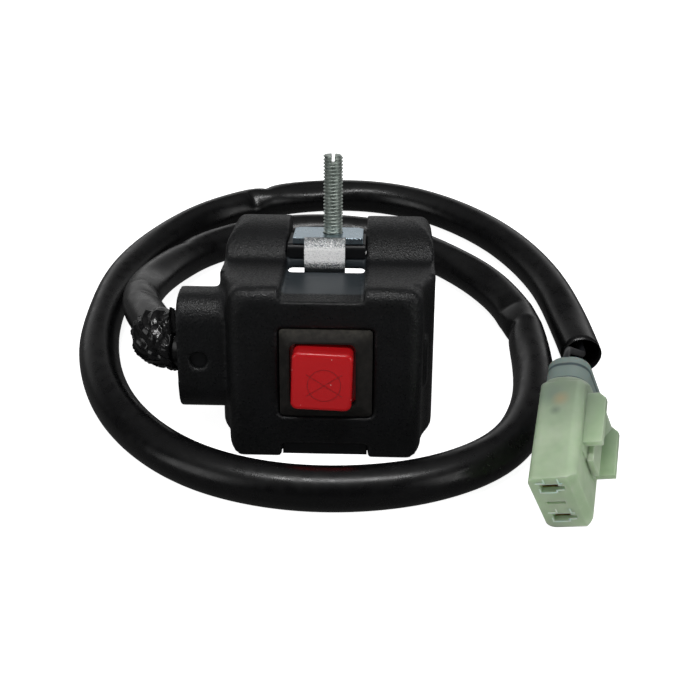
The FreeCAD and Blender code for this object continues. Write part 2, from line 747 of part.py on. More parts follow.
def cable_exit():
    """Where the cable's axis starts, in the leaned frame."""
    return lean(Part.Vertex(CABLE_START_X, cable_y(), CABLE_Z)).Point


def cable_route():
    """Corners of the cable's route, chosen by hand from the photograph."""
    start = cable_exit()
    return [
        start, V(-31.4, start.y, start.z), V(-36.7, -10.5, -2.1), V(-42.0, 2.0, -4.9),
        V(-43.0, 14.4, -7.6), V(-39.9, 28.6, -10.2), V(-33.4, 41.2, -11.7),
        V(-21.5, 49.6, CENTRE_Z), V(-5.0, 53.0, CENTRE_Z), V(11.5, 49.8, CENTRE_Z),
        V(25.4, 38.6, CENTRE_Z), V(36.4, 24.6, CENTRE_Z), V(42.2, 8.8, CENTRE_Z),
        V(43.0, -8.6, CENTRE_Z), V(41.2, -24.6, CENTRE_Z), V(35.0, -38.2, CENTRE_Z),
        V(21.8, -47.0, CENTRE_Z), V(5.5, -50.6, CENTRE_Z), V(-11.6, -49.6, CENTRE_Z),
        V(-27.2, -43.2, CENTRE_Z), V(-39.6, -31.2, CENTRE_Z), V(-48.0, -15.2, CENTRE_Z),
        V(-52.3, 3.6, CENTRE_Z), V(-52.0, 23.8, CENTRE_Z), V(-46.8, 42.6, CENTRE_Z),
        V(-36.2, 58.8, CENTRE_Z), V(-21.0, 70.0, CENTRE_Z), V(-1.4, 74.8, CENTRE_Z),
        V(18.2, 70.8, CENTRE_Z), V(34.6, 57.8, CENTRE_Z), V(46.2, 38.8, CENTRE_Z),
        V(52.2, 17.0, CENTRE_Z), V(53.6, -4.6, CENTRE_Z),
    ]


def tangent_path(points, report=False, most=1000.0):
    """Straight runs joined by arcs, each starting at most so far from its corner."""
    edges = []
    last = points[0]
    for before, corner, after in zip(points, points[1:], points[2:]):
        into, out = (corner - before), (after - corner)
        turn = into.getAngle(out)
        setback = min(SETBACK_SHARE * min(into.Length, out.Length), most)
        radius = setback / math.tan(turn / 2)
        into.normalize()
        out.normalize()
        start, end = corner - into * setback, corner + out * setback
        inward = out - into
        inward.normalize()
        middle = corner + inward * (math.hypot(setback, radius) - radius)
        edges.append(Part.LineSegment(last, start).toShape())
        edges.append(Part.Arc(start, middle, end).toShape())
        last = end
        if report:
            print("bend at (%.1f, %.1f, %.1f): radius %.1f mm" % (corner.x, corner.y, corner.z, radius))
    edges.append(Part.LineSegment(last, points[-1]).toShape())
    return Part.Wire(edges)


def sweep_round(path, radius):
    """A round solid along a path of edges."""
    first = path.Edges[0]
    start = first.ParameterRange[0]
    ring = Part.Wire(Part.makeCircle(radius, first.valueAt(start), first.tangentAt(start)))
    return path.makePipeShell([ring], True, False)


def mouth_direction():
    """Direction of the cable at its cut end, pointing out."""
    route = cable_route()
    direction = route[-1] - route[-2]
    direction.normalize()
    return direction


def make_cable_sleeve():
    """Plastic sleeve with its wires, bored out where it is cut open."""
    route = cable_route()
    path = tangent_path(route, True)
    tube = sweep_round(path, CABLE_R)
    share = tube.Volume / (math.pi * CABLE_R ** 2 * path.Length)
    print("length %.1f mm, volume is %.4f of section times length" % (path.Length, share))
    out = mouth_direction()
    bore = rod(SLEEVE_BORE_R, route[-1] - out * MOUTH_DEPTH, route[-1] + out)
    return tube.cut(bore)


def make_tape_wrap():
    """Tape wound over the cable's root, from the outlet's face round the first two bends."""
    edges = tangent_path(cable_route()).Edges[1:3]
    bend = edges[0]
    first, last = bend.ParameterRange
    split = first + TAPE_NECK_SHARE * (last - first)
    neck_edge = Part.ArcOfCircle(bend.Curve, first, split).toShape()
    lump_edge = Part.ArcOfCircle(bend.Curve, split, last).toShape()
    neck = sweep_round(Part.Wire([neck_edge]), TAPE_NECK_R)
    lump = sweep_round(Part.Wire([lump_edge, edges[1]]), TAPE_R)
    core = sweep_round(Part.Wire(edges), CABLE_R + TAPE_FIT)
    outlet = box((OUTLET_END_X - TAPE_GAP, 0), (-3 * RING_R, 0), (GROUND_Z, RING_R))
    return neck.fuse(lump).cut([core, outlet]).removeSplitter()


def plug_place(shape):
    """Turns a shape from the plug's own frame to where the plug lies."""
    placed = shape.copy()
    placed.rotate(ORIGIN, ALONG_Y, PLUG_ROLL_DEG)
    placed.rotate(ORIGIN, ALONG_X, PLUG_PITCH_DEG)
    placed.rotate(ORIGIN, ALONG_Z, PLUG_YAW_DEG)
    placed.translate(PLUG_FACE)
    return placed


def plug_prism(width, height, radius, y_start, y_end):
    """A rounded bar along the plug, centred beside the terminals' plane."""
    face = rounded_rectangle(width, height, radius, V(PLUG_SHIFT, y_start, 0), ALONG_X, ALONG_Z)
    return face.extrude(V(0, y_end - y_start, 0))


def plug_side_x():
    """Latch side of the plug's front."""
    return PLUG_SHIFT + PLUG_WIDTH / 2


def plug_rail(z_top):
    """Guide rail on the latch side, with a cut corner."""
    x_in = plug_side_x() - 0.5
    end = RAIL_Y + RAIL_LENGTH
    c = RAIL_CORNER
    z = z_top - RAIL_THICK
    face = polygon([
        V(x_in, RAIL_Y, z), V(RAIL_OUT_X, RAIL_Y, z), V(RAIL_OUT_X, end - c, z),
        V(RAIL_OUT_X - c, end, z), V(x_in, end, z),
    ])
    return face.extrude(V(0, 0, RAIL_THICK))


def cavity_cut(z):
    """Terminal cavity: a slot with a small key beside it."""
    half = CAVITY_WIDTH / 2
    slot = box((-half, half), (-1, PLUG_LENGTH + 1), (z - CAVITY_HEIGHT / 2, z + CAVITY_HEIGHT / 2))
    key = box((half - 0.2, half + KEY_SIZE), (-1, CAVITY_DEPTH), (z - KEY_SIZE / 2, z + KEY_SIZE / 2))
    return slot.fuse(key)


def plug_front():
    """The plug's slim front with its latch side bevelled at the mating face."""
    front = plug_prism(PLUG_WIDTH, PLUG_HEIGHT, PLUG_CORNER_R, 0, PLUG_LENGTH - 1)
    x, c = plug_side_x(), PLUG_CHAMFER
    bevel = polygon([V(x - c, 0, -PLUG_HEIGHT), V(x + c, 0, -PLUG_HEIGHT), V(x + c, 2 * c, -PLUG_HEIGHT)])
    return front.cut(bevel.extrude(V(0, 0, 2 * PLUG_HEIGHT)))


def make_plug_housing():
    """Two-way plug housing: slim front, wider rounded rear, rails and a socket for the seal."""
    step = 2 * PLUG_REAR_STEP
    rear_y = PLUG_LENGTH - PLUG_REAR_LENGTH
    rear = plug_prism(PLUG_WIDTH + step, PLUG_HEIGHT, PLUG_REAR_R, rear_y, PLUG_LENGTH)
    body = plug_front().fuse([rear] + [plug_rail(z) for z in RAIL_TOPS_Z])
    cavities = [cavity_cut(side * CAVITY_PITCH / 2) for side in (-1, 1)]
    width, height, depth = KEY_SLOT
    middle = box((-width / 2, width / 2), (-1, depth), (-height / 2, height / 2))
    width, height = PLUG_WIDTH + step - 2 * SEAL_WALL, PLUG_HEIGHT - 2 * SEAL_WALL
    socket_y = PLUG_LENGTH - SEAL_INSERT
    socket = plug_prism(width, height, PLUG_REAR_R - SEAL_WALL, socket_y, PLUG_LENGTH + 1)
    return plug_place(body.cut(cavities + [middle, socket]).removeSplitter())


def make_plug_seal():
    """Soft rear seal: a stepped plug with two holes for the wires."""
    wall = SEAL_WALL + SEAL_FIT
    step = PLUG_REAR_STEP - wall
    body = plug_prism(PLUG_WIDTH + 2 * step, PLUG_HEIGHT - 2 * wall, PLUG_REAR_R - wall,
                      PLUG_LENGTH - SEAL_INSERT + SEAL_FIT, PLUG_LENGTH + 2 * SEAL_FIT)
    step = PLUG_REAR_STEP - SEAL_STEP
    end = PLUG_LENGTH + SEAL_LENGTH
    outer = plug_prism(PLUG_WIDTH + 2 * step, PLUG_HEIGHT - 2 * SEAL_STEP, PLUG_REAR_R - SEAL_STEP,
                       PLUG_LENGTH + SEAL_FIT, end)
    edges = [e for e in outer.Edges if e.BoundBox.YMin > end - 0.01]
    outer = outer.makeFillet(SEAL_EDGE_R, edges)
    start = PLUG_LENGTH - SEAL_INSERT - 1
    holes = [rod(WIRE_R, V(0, start, z), V(0, end + 1, z)) for z in (-CAVITY_PITCH / 2, CAVITY_PITCH / 2)]
    return plug_place(body.fuse(outer).cut(holes).removeSplitter())


def make_plug_latch():
    """Latch bar between the rails with a wedge that catches the mating half."""
    x = plug_side_x() + PLUG_REAR_STEP + LATCH_GAP
    half = LATCH_HEIGHT / 2
    bar = box((x, x + LATCH_THICK), (LATCH_END_Y - LATCH_LENGTH, LATCH_END_Y), (-half, half))
    out = x + LATCH_THICK
    wedge = polygon([
        V(out, LATCH_END_Y - WEDGE_START, -half), V(out + LATCH_RISE, LATCH_END_Y - WEDGE_TIP, -half),
        V(out, LATCH_END_Y - WEDGE_TIP, -half),
    ])
    return plug_place(bar.fuse(wedge.extrude(V(0, 0, LATCH_HEIGHT))).removeSplitter())


def make_terminal(side):
    """Folded brass receptacle in its cavity with a crimp on the wire."""
    z = side * CAVITY_PITCH / 2
    width = CAVITY_WIDTH - 2 * TERMINAL_GAP
    height = CAVITY_HEIGHT - 2 * TERMINAL_GAP
    end = CAVITY_DEPTH + 2
    outer = box((-width / 2, width / 2), (TERMINAL_SET, end), (z - height / 2, z + height / 2))
    w = TERMINAL_WALL
    inner = box((-width / 2 + w, width / 2 - w), (0, end - 1), (z - height / 2 + w, z + height / 2 - w))
    crimp_end = PLUG_LENGTH - SEAL_INSERT - 1
    crimp = rod(WIRE_R + CRIMP_WALL, V(0, end, z), V(0, crimp_end, z))
    hole = rod(WIRE_R, V(0, crimp_end - CRIMP_LENGTH, z), V(0, PLUG_LENGTH, z))
    return plug_place(outer.cut(inner).fuse(crimp).cut(hole).removeSplitter())


def plug_point(x, y, z):
    """A point of the plug's own frame where the plug lies."""
    return plug_place(Part.Vertex(x, y, z)).Point


def make_wire_end(side):
    """Thin wire from inside the sleeve's mouth through the seal to its terminal."""
    route = cable_route()
    out = mouth_direction()
    apart = V(0, 0, side * WIRE_APART)
    start = route[-1] - out * MOUTH_DEPTH + apart
    leave = route[-1] + out * WIRE_LEAVE + apart
    z = side * CAVITY_PITCH / 2
    inside = plug_point(0, PLUG_LENGTH - SEAL_INSERT - 1 - CRIMP_LENGTH, z)
    entry = plug_point(0, PLUG_LENGTH + SEAL_LENGTH + WIRE_SETBACK + 0.3, z)
    return sweep_round(tangent_path([start, leave, entry, inside], most=WIRE_SETBACK), WIRE_R)


def export_all():
    nodes = {
        "housing": make_housing(),
        "underside_cover": make_cover(),
        "cover_screws": make_cover_screws(),
        "button_frame": make_button_frame(),
        "button_cap": make_button_cap(),
        "plunger": make_plunger(),
        "return_spring": make_return_spring(),
        "contact_bridge": make_contact_bridge(),
        "contact_base": make_contact_base(),
        "fixed_contact_left": make_fixed_contact(-1),
        "fixed_contact_right": make_fixed_contact(1),
        "lead_wire_left": make_lead_wire(-1),
        "lead_wire_right": make_lead_wire(1),
        "outlet_pin": make_outlet_pin(),
        "clamp_strap": make_clamp_strap(),
        "clamp_screw": make_clamp_screw(),
        "clamp_pad": make_clamp_pad(),
        "tape_wrap": make_tape_wrap(),
        "cable_sleeve": make_cable_sleeve(),
        "wire_end_lower": make_wire_end(-1),
        "wire_end_upper": make_wire_end(1),
        "plug_housing": make_plug_housing(),
        "plug_seal": make_plug_seal(),
        "plug_latch": make_plug_latch(),
        "plug_terminal_lower": make_terminal(-1),
        "plug_terminal_upper": make_terminal(1),
    }
    os.makedirs("parts", exist_ok=True)
    for name, shape in nodes.items():
        shape.exportStep("parts/%s.step" % name)
        b = shape.BoundBox
        print("%-20s %d solid, valid %s, %.0f mm3" % (name, len(shape.Solids), shape.isValid(), shape.Volume))
        print("    x %.1f..%.1f y %.1f..%.1f z %.1f..%.1f" % (b.XMin, b.XMax, b.YMin, b.YMax, b.ZMin, b.ZMax))


export_all()
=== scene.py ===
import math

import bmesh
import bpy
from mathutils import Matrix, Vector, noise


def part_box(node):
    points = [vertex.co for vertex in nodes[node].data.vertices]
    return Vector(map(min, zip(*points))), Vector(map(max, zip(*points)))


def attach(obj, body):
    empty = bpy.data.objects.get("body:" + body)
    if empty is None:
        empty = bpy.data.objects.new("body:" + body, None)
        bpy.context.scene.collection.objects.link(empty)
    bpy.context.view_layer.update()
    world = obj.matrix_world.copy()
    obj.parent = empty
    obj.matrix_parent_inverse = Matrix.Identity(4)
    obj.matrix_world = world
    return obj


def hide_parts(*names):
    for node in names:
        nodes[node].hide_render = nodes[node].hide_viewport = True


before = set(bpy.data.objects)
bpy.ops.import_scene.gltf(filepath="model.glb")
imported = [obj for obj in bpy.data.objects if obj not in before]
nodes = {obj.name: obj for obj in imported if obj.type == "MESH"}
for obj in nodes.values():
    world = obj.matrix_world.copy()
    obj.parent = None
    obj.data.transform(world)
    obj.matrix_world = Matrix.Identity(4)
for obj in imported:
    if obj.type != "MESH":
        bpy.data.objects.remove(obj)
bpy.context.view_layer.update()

# %% [markdown]
# # An engine kill switch, from its solids to a picture
# The solids of the part are loaded above. They are in metres, with the handlebar along X,
# the push button facing -Y and the ground 16.3 mm under the handlebar's axis.
# Each step below dresses a piece or rebuilds it finer, and prints what it made.

MM = 0.001
GROUND_Z = -16.3 * MM
BODY, BUTTON, SCREW = "switch body", "push button", "screw"
print("loaded", len(nodes), "nodes")

# %% [markdown]
# ## The camera
# The photograph looks down at 33 degrees from close by, so near parts look larger than far ones.
# A long lens from far away would give the same outline of the block, but a loop of cable without
# depth. The place comes from the seat's width and the height of the screw.


# %% Camera
def link(name, data):
    """An object for finished data, put into the scene."""
    made = bpy.data.objects.new(name, data)
    bpy.context.scene.collection.objects.link(made)
    return made


camera_data = bpy.data.cameras.new("camera")
camera_data.lens = 58.17
camera_data.sensor_width = 36.0
camera_data.clip_start = 0.005
camera_data.clip_end = 10.0
camera = link("camera", camera_data)
camera.location = (0.01038, -0.20847, 0.12088)
camera.rotation_euler = (math.radians(57.0), 0.0, math.radians(1.8))
bpy.context.scene.camera = camera
bpy.context.scene.view_settings.view_transform = "Standard"
print("camera at", tuple(round(v, 4) for v in camera.location))

# %% [markdown]
# ## Small helpers
# A material is a set of shader nodes with links between them. Written out one by one they fill
# pages, so one function adds a node with its settings and links. Another turns a colour as seen
# on screen into the linear numbers that a shader takes. The rest are short names for what most
# materials need: a grain of a real size, one range mapped onto another, and a bump.


# %% Helpers for materials
def linear(code):
    """Linear colour of an sRGB hex code."""
    channels = []
    for i in (1, 3, 5):
        c = int(code[i:i + 2], 16) / 255
        channels.append(c / 12.92 if c <= 0.04045 else ((c + 0.055) / 1.055) ** 2.4)
    return (*channels, 1.0)


def add(material, kind, inputs=None, **settings):
    """A new shader node with its settings and inputs; a socket as input is linked."""
    new = material.node_tree.nodes.new(kind)
    for name, value in settings.items():
        setattr(new, name, value)
    for name, value in (inputs or {}).items():
        if isinstance(value, bpy.types.NodeSocket):
            material.node_tree.links.new(value, new.inputs[name])
        else:
            new.inputs[name].default_value = value
    return new


def new_material(name, **values):
    """A material with a Principled shader, its plain values set on the sockets."""
    material = bpy.data.materials.new(name)
    material.use_nodes = True
    shader = material.node_tree.nodes["Principled BSDF"]
    for socket, value in values.items():
        shader.inputs[socket.replace("_", " ")].default_value = value
    return material, shader


def feed(material, socket, target, name):
    """Links a socket into an input of the shader."""
    material.node_tree.links.new(socket, target.inputs[name])


def place(material, turned=None):
    """Object coordinates in metres, or those of a frame that a piece was turned and moved with."""
    vector = add(material, "ShaderNodeTexCoord").outputs["Object"]
    if turned is None:
        return vector
    settings = {"Vector": vector, "Location": turned.to_translation(),
                "Rotation": turned.to_euler("XYZ")}
    return add(material, "ShaderNodeMapping", settings, vector_type="TEXTURE").outputs["Vector"]


def grain(material, size_mm, detail=2.0, rough=0.5):
    """Noise whose grains measure about size_mm."""
    return add(material, "ShaderNodeTexNoise",
               {"Vector": place(material), "Scale": 1 / (size_mm * MM), "Detail": detail,
                "Roughness": rough}).outputs["Fac"]


def span(material, value, from_low, from_high, to_low=0.0, to_high=1.0):
    """Maps a range of values onto another and clamps it."""
    return add(material, "ShaderNodeMapRange",
               {"Value": value, "From Min": from_low, "From Max": from_high,
                "To Min": to_low, "To Max": to_high}).outputs["Result"]


def bump(material, height, distance_mm, strength=1.0, normal=None):
    """A normal that makes a pattern look up to distance_mm high."""
    inputs = {"Height": height, "Distance": distance_mm * MM, "Strength": strength}
    if normal is not None:
        inputs["Normal"] = normal
    return add(material, "ShaderNodeBump", inputs).outputs["Normal"]


print("material helpers ready")

# %% [markdown]
# ## Vinyl, tape and wire
# The sleeve is extruded soft PVC. Its skin is satin, with long soft highlights and faint rub
# marks, so its roughness wanders a little. The tape is the same stuff, thinner and glossier. The
# wires' insulation is duller. An even black would do from afar, but it looks like a drawing.

# %% Soft black materials
sleeve_vinyl, shader = new_material("black_sleeve_vinyl", Base_Color=linear("#060607"),
                                    Roughness=0.3, Specular_IOR_Level=0.42)
rub = grain(sleeve_vinyl, 2.4, 3.0)
feed(sleeve_vinyl, span(sleeve_vinyl, rub, 0.3, 0.7, 0.24, 0.36), shader, "Roughness")
feed(sleeve_vinyl, bump(sleeve_vinyl, grain(sleeve_vinyl, 0.6), 0.008, 0.5), shader, "Normal")

tape_vinyl, shader = new_material("black_tape_vinyl", Base_Color=linear("#0a0a0b"),
                                  Roughness=0.22, Specular_IOR_Level=0.5)
feed(tape_vinyl, bump(tape_vinyl, grain(tape_vinyl, 1.2), 0.08, 0.6), shader, "Normal")

wire_vinyl, shader = new_material("black_wire_vinyl", Base_Color=linear("#1c1d20"), Roughness=0.4)
feed(wire_vinyl, bump(wire_vinyl, grain(wire_vinyl, 0.4), 0.02, 0.4), shader, "Normal")
print("soft materials made")

# %% [markdown]
# ## The cable's route
# A cable is a fixed length of something flexible, and it never bends with a corner. So its line is
# one smooth NURBS curve, through the loops that the photograph shows, and not a chain of arcs. The
# points are in millimetres. The first is inside the outlet, the last is the sleeve's cut end.

# %% Cable route
OUTLET_Y, OUTLET_Z = -22.17, -0.62
ROUTE = [
    (-18.2, OUTLET_Y, OUTLET_Z), (-31.4, OUTLET_Y, OUTLET_Z), (-36.7, -10.5, -2.1),
    (-42.0, 2.0, -4.9), (-43.0, 14.4, -7.6), (-39.9, 28.6, -10.2), (-33.4, 41.2, -11.7),
    (-21.5, 49.6, -12.05), (-5.0, 53.0, -12.05), (11.5, 49.8, -12.05), (25.4, 38.6, -12.05),
    (36.4, 24.6, -12.05), (42.2, 8.8, -12.05), (43.0, -8.6, -12.05), (41.2, -24.6, -12.05),
    (35.0, -38.2, -12.05), (21.8, -47.0, -12.05), (5.5, -50.6, -12.05), (-11.6, -49.6, -12.05),
    (-27.2, -43.2, -12.05), (-39.6, -31.2, -12.05), (-48.0, -15.2, -12.05), (-52.3, 3.6, -12.05),
    (-52.0, 23.8, -12.05), (-46.8, 42.6, -12.05), (-36.2, 58.8, -12.05), (-21.0, 70.0, -12.05),
    (-1.4, 74.8, -12.05), (18.2, 70.8, -12.05), (34.6, 57.8, -12.05), (46.2, 38.8, -12.05),
    (52.2, 17.0, -12.05), (53.6, -4.6, -12.05),
]
CABLE_R = 4.25 * MM
CABLE_STEPS = 22


def smooth_line(points, name, per_point):
    """Points in metres along one NURBS spline with control points in millimetres."""
    curve = bpy.data.curves.new(name, "CURVE")
    curve.dimensions = "3D"
    spline = curve.splines.new("NURBS")
    spline.points.add(len(points) - 1)
    for target, point in zip(spline.points, points):
        target.co = (point[0] * MM, point[1] * MM, point[2] * MM, 1.0)
    spline.order_u = 3
    spline.use_endpoint_u = True
    spline.resolution_u = per_point
    made = link(name, curve)
    bpy.context.view_layer.update()
    mesh = bpy.data.meshes.new_from_object(made)
    line = [v.co.copy() for v in mesh.vertices]
    bpy.data.objects.remove(made)
    bpy.data.meshes.remove(mesh)
    return line


def running_length(line):
    """Length from the line's start to each of its points."""
    lengths = [0.0]
    for a, b in zip(line, line[1:]):
        lengths.append(lengths[-1] + (b - a).length)
    return lengths


cable_line = smooth_line(ROUTE, "cable_route", CABLE_STEPS)
cable_lengths = running_length(cable_line)
print("cable length %.1f mm" % (cable_lengths[-1] / MM))

# %% [markdown]
# ## Sweeping a soft tube
# A curve can be given a round bevel in one line. But a real sleeve isn't round all the way: it
# flattens in tight bends and creases at kinks. So a ring of vertices is extruded step by step
# along the line, and each step asks for its own radius at each angle round the ring. The angle
# stays with each vertex in a layer of the mesh.


# %% Sweep
def line_frames(line):
    """Position, sideways and up at each point, with up kept as near Z as it can be."""
    frames = []
    for i, point in enumerate(line):
        ahead = line[min(i + 1, len(line) - 1)] - line[max(i - 1, 0)]
        tangent = ahead.normalized()
        side = tangent.cross(Vector((0, 0, 1))).normalized()
        frames.append((point, side, side.cross(tangent)))
    return frames


def sweep(source, steps, around):
    """Extrudes a ring along steps of (frame, radius as a function of the angle)."""
    turn = source.verts.layers.float.new("turn")
    ring = bmesh.ops.create_circle(source, segments=around, radius=1.0)["verts"]
    for vert in ring:
        vert[turn] = math.atan2(vert.co.y, vert.co.x)
    for index, ((point, side, up), radius_at) in enumerate(steps):
        if index:
            made = bmesh.ops.extrude_edge_only(source, edges=ring_edges)["geom"]
            ring = [item for item in made if isinstance(item, bmesh.types.BMVert)]
        in_ring = set(ring)
        ring_edges = list(dict.fromkeys(edge for vert in ring for edge in vert.link_edges
                                        if edge.other_vert(vert) in in_ring))
        for vert in ring:
            angle = vert[turn]
            radius = radius_at(angle)
            vert.co = point + side * (radius * math.cos(angle)) + up * (radius * math.sin(angle))


def close_ends(source):
    """Fills the open rings that are left."""
    rim = [edge for edge in source.edges if edge.is_boundary]
    bmesh.ops.holes_fill(source, edges=rim, sides=0)


def mesh_from(source, name):
    """The mesh of a finished bmesh, which is freed."""
    mesh = bpy.data.meshes.new(name)
    source.to_mesh(mesh)
    source.free()
    return mesh


def make_object(name, source, material, body, smooth=True):
    """An object from a bmesh, riding on a body of the frame."""
    bmesh.ops.recalc_face_normals(source, faces=source.faces)
    mesh = mesh_from(source, name)
    mesh.materials.append(material)
    for polygon in mesh.polygons:
        polygon.use_smooth = smooth
    made = link(name, mesh)
    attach(made, body)
    print(name, len(mesh.polygons), "faces")
    return made


print("sweep ready")

# %% [markdown]
# ## Dents in the sleeve
# Each dent has a place along the cable, a side, a depth, a length and a width. A sharp one is a
# crease, a long one is a flat. What a dent takes away, the skin beside it bulges by, a little.
# Sculpting by hand would give the same look, but numbers can be changed and read again.

# %% Dents
# along the cable in mm, side in degrees (0 inward, 90 up, 180 outward), depth in mm,
# length in mm, width in degrees, and whether it is a crease
DENTS = [
    (419.5, 55, 1.5, 2.0, 48, True), (424.5, 120, 0.9, 2.2, 40, True),
    (437, 75, 1.0, 9.0, 40, False), (405, 30, 0.6, 9.0, 35, False),
    (183, 5, 1.5, 2.4, 50, True), (176, 60, 0.7, 3.0, 40, True),
    (160, 62, 0.9, 11.0, 34, False), (196, 40, 0.5, 9.0, 34, False),
    (35, 50, 0.9, 2.2, 42, True), (42, 15, 0.8, 2.6, 40, True),
    (52, 70, 0.7, 8.0, 36, False), (72, 120, 0.5, 3.0, 34, True),
    (96, 60, 0.5, 9.0, 40, False), (128, 45, 0.4, 7.0, 34, False),
    (300, 105, 0.35, 12.0, 34, False), (352, 150, 0.5, 12.0, 38, False),
    (382, 95, 0.4, 10.0, 34, False), (480, 75, 0.4, 14.0, 40, False),
    (538, 90, 0.6, 9.0, 48, False),
]
BULGE, BULGE_AT = 0.22, 1.9
CREASE_SHARPNESS = 1.3
DENT_REACH = 3
RIPPLE, RIPPLES_PER_M, RIPPLES_ROUND = 0.014, 55, 1.3


def dent_depth(along, angle):
    """How far the skin is pushed in, in metres, at a place along the cable and round it."""
    depth = 0.0
    for where, side, deep, length, width, crease in DENTS:
        x = (along / MM - where) / length
        if abs(x) > DENT_REACH:
            continue
        turned = (math.degrees(angle) - side + 180) % 360 - 180
        bulge = BULGE * math.exp(-((abs(turned) - BULGE_AT * width) / width) ** 2)
        lengthwise = math.exp(-abs(x) * CREASE_SHARPNESS if crease else -x * x)
        depth += deep * MM * lengthwise * (math.exp(-(turned / width) ** 2) - bulge)
    return depth


def sleeve_radius(along):
    """The sleeve's radius as a function of the angle, at a place along the cable."""
    def radius_at(angle):
        spot = Vector((along * RIPPLES_PER_M, RIPPLES_ROUND * math.cos(angle),
                       RIPPLES_ROUND * math.sin(angle)))
        return CABLE_R * (1 + RIPPLE * noise.noise(spot)) - dent_depth(along, angle)
    return radius_at


print(len(DENTS), "dents")

# %% [markdown]
# The end is cut open. So at the last ring the skin turns inward by the wall's thickness and runs
# back into the bore for a few steps, where it is closed out of sight.

# %% Cable mesh
SLEEVE_WALL = 0.75 * MM
LIP_SHARE = 0.15
BORE_STEPS = 12
CABLE_AROUND = 48


def inside(outer, wall):
    """A radius function that runs a wall's thickness inside another."""
    return lambda angle: outer(angle) - wall


def build_cable():
    frames = line_frames(cable_line)
    steps = [(at, sleeve_radius(along)) for at, along in zip(frames, cable_lengths)]
    for index in range(BORE_STEPS):
        wall = SLEEVE_WALL * (LIP_SHARE if index == 0 else 1.0)
        outer = sleeve_radius(cable_lengths[-1 - index])
        steps.append((frames[-1 - index], inside(outer, wall)))
    source = bmesh.new()
    sweep(source, steps, CABLE_AROUND)
    close_ends(source)
    for vert in source.verts:
        vert.co.z = max(vert.co.z, GROUND_Z)
    return make_object("cable_sleeve_vinyl", source, sleeve_vinyl, BODY)


cable = build_cable()
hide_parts("cable_sleeve")

# %% [markdown]
# ## The tape
# A few turns of thin vinyl tape hold the cable in the outlet. Pulled round the sharp bend, they
# bunch up in a lump with folds, with a narrow ring beside the box. Cloth simulation could fold a
# film like this, but it takes long and never folds twice at the wished place. It is the same sweep
# instead, on a finer part of the same line. Noise with its sign taken off has sharp valleys, as
# folds have.

# %% Tape
TAPE_STEPS, TAPE_AROUND = 90, 96
TAPE_START, TAPE_END = 10.75 * MM, 20.3 * MM
# share of the tape's length, and the mean radius there in mm
TAPE_PROFILE = [
    (0.0, 4.45), (0.03, 4.95), (0.16, 5.0), (0.21, 4.6), (0.27, 4.6), (0.33, 5.1), (0.4, 5.25),
    (0.46, 4.75), (0.54, 5.35), (0.7, 5.75), (0.9, 5.65), (0.97, 5.2), (1.0, 4.3),
]
TWIST = 0.9
FOLD, CRINKLE = 0.75, 0.22


def profile_radius(share):
    """The tape's mean radius at a share of its length."""
    for (a, low), (b, high) in zip(TAPE_PROFILE, TAPE_PROFILE[1:]):
        if share <= b:
            return (low + (high - low) * (share - a) / (b - a)) * MM
    return TAPE_PROFILE[-1][1] * MM


def ridged(lengthwise, around, angle):
    """Noise on the tape's skin with sharp ridges, from its scales along and round the tape."""
    spot = Vector((lengthwise, around * math.cos(angle), around * math.sin(angle)))
    return 1 - 2.2 * abs(noise.noise(spot))


def tape_radius(share):
    """The tape's radius as a function of the angle, at a share of its length."""
    def radius_at(angle):
        turned = angle + TWIST * share
        fold = FOLD * (ridged(1.1 * share, 2.4, turned) - 0.6)
        crinkle = CRINKLE * (ridged(3.2 * share, 5.2, turned) - 0.5)
        ends = min(1.0, share * 14, (1 - share) * 14)
        return profile_radius(share) + ends * (fold + crinkle) * MM
    return radius_at


source = bmesh.new()
tape_line = smooth_line(ROUTE, "tape_route", TAPE_STEPS)
steps = []
for at, along in zip(line_frames(tape_line), running_length(tape_line)):
    if TAPE_START <= along <= TAPE_END:
        steps.append((at, tape_radius((along - TAPE_START) / (TAPE_END - TAPE_START))))
sweep(source, steps, TAPE_AROUND)
close_ends(source)
print("tape swept in", len(steps), "steps")

# %% [markdown]
# The tape's loose end stands up beside the box. It is a short grid that narrows as it rises and
# curls over, with a real film's thickness given by a solidify.

# %% Loose end of the tape
FLAP_FOOT = (-30.1, -23.0, 3.6)
FLAP_WIDTH, FLAP_HEIGHT, FLAP_THICK = 1.9, 5.6, 0.22
flap = bmesh.ops.create_grid(source, x_segments=4, y_segments=8, size=0.5)["verts"]
for vert in flap:
    across, rise = vert.co.x, vert.co.y + 0.5
    curl = 0.6 * math.sin(2.6 * rise)
    wave = 0.25 * math.sin(5 * across + 3 * rise)
    sideways = FLAP_WIDTH * across * (1 - 0.45 * rise) + 0.4 * rise * rise
    vert.co = (Vector(FLAP_FOOT) + Vector((sideways, wave + curl, FLAP_HEIGHT * rise))) * MM
flap_faces = list({face for vert in flap for face in vert.link_faces})
bmesh.ops.solidify(source, geom=flap_faces, thickness=FLAP_THICK * MM)
tape = make_object("crinkled_tape", source, tape_vinyl, BODY)
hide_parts("tape_wrap")

# %% [markdown]
# ## Zinc on steel
# The strap and the screws are zinc plated, which is a soft grey metal with a bluish, slightly
# cloudy shine. Where the strap was bent, the zinc has cracks in a coarse texture, which a bump
# draws; its sparkle is painted glints, white spots in the colour. Painting that on by hand would
# need an image, so masks pick out the bend by its place on the upright housing instead. The upper
# part of the bend mirrors the white room, so it gets a painted highlight: a white colour that is
# no metal. The lower part of the bend gets painted shade, a dark grey.


# %% Helpers for masks
def turn_by(degrees, axis):
    return Matrix.Rotation(math.radians(degrees), 4, axis)


# the housing leans back, and so does all that sits in it
LEANED = turn_by(-12.5, "X")


def axes_of(material, turned):
    """X, Y and Z in a turned frame, as sockets."""
    return add(material, "ShaderNodeSeparateXYZ", {"Vector": place(material, turned)}).outputs


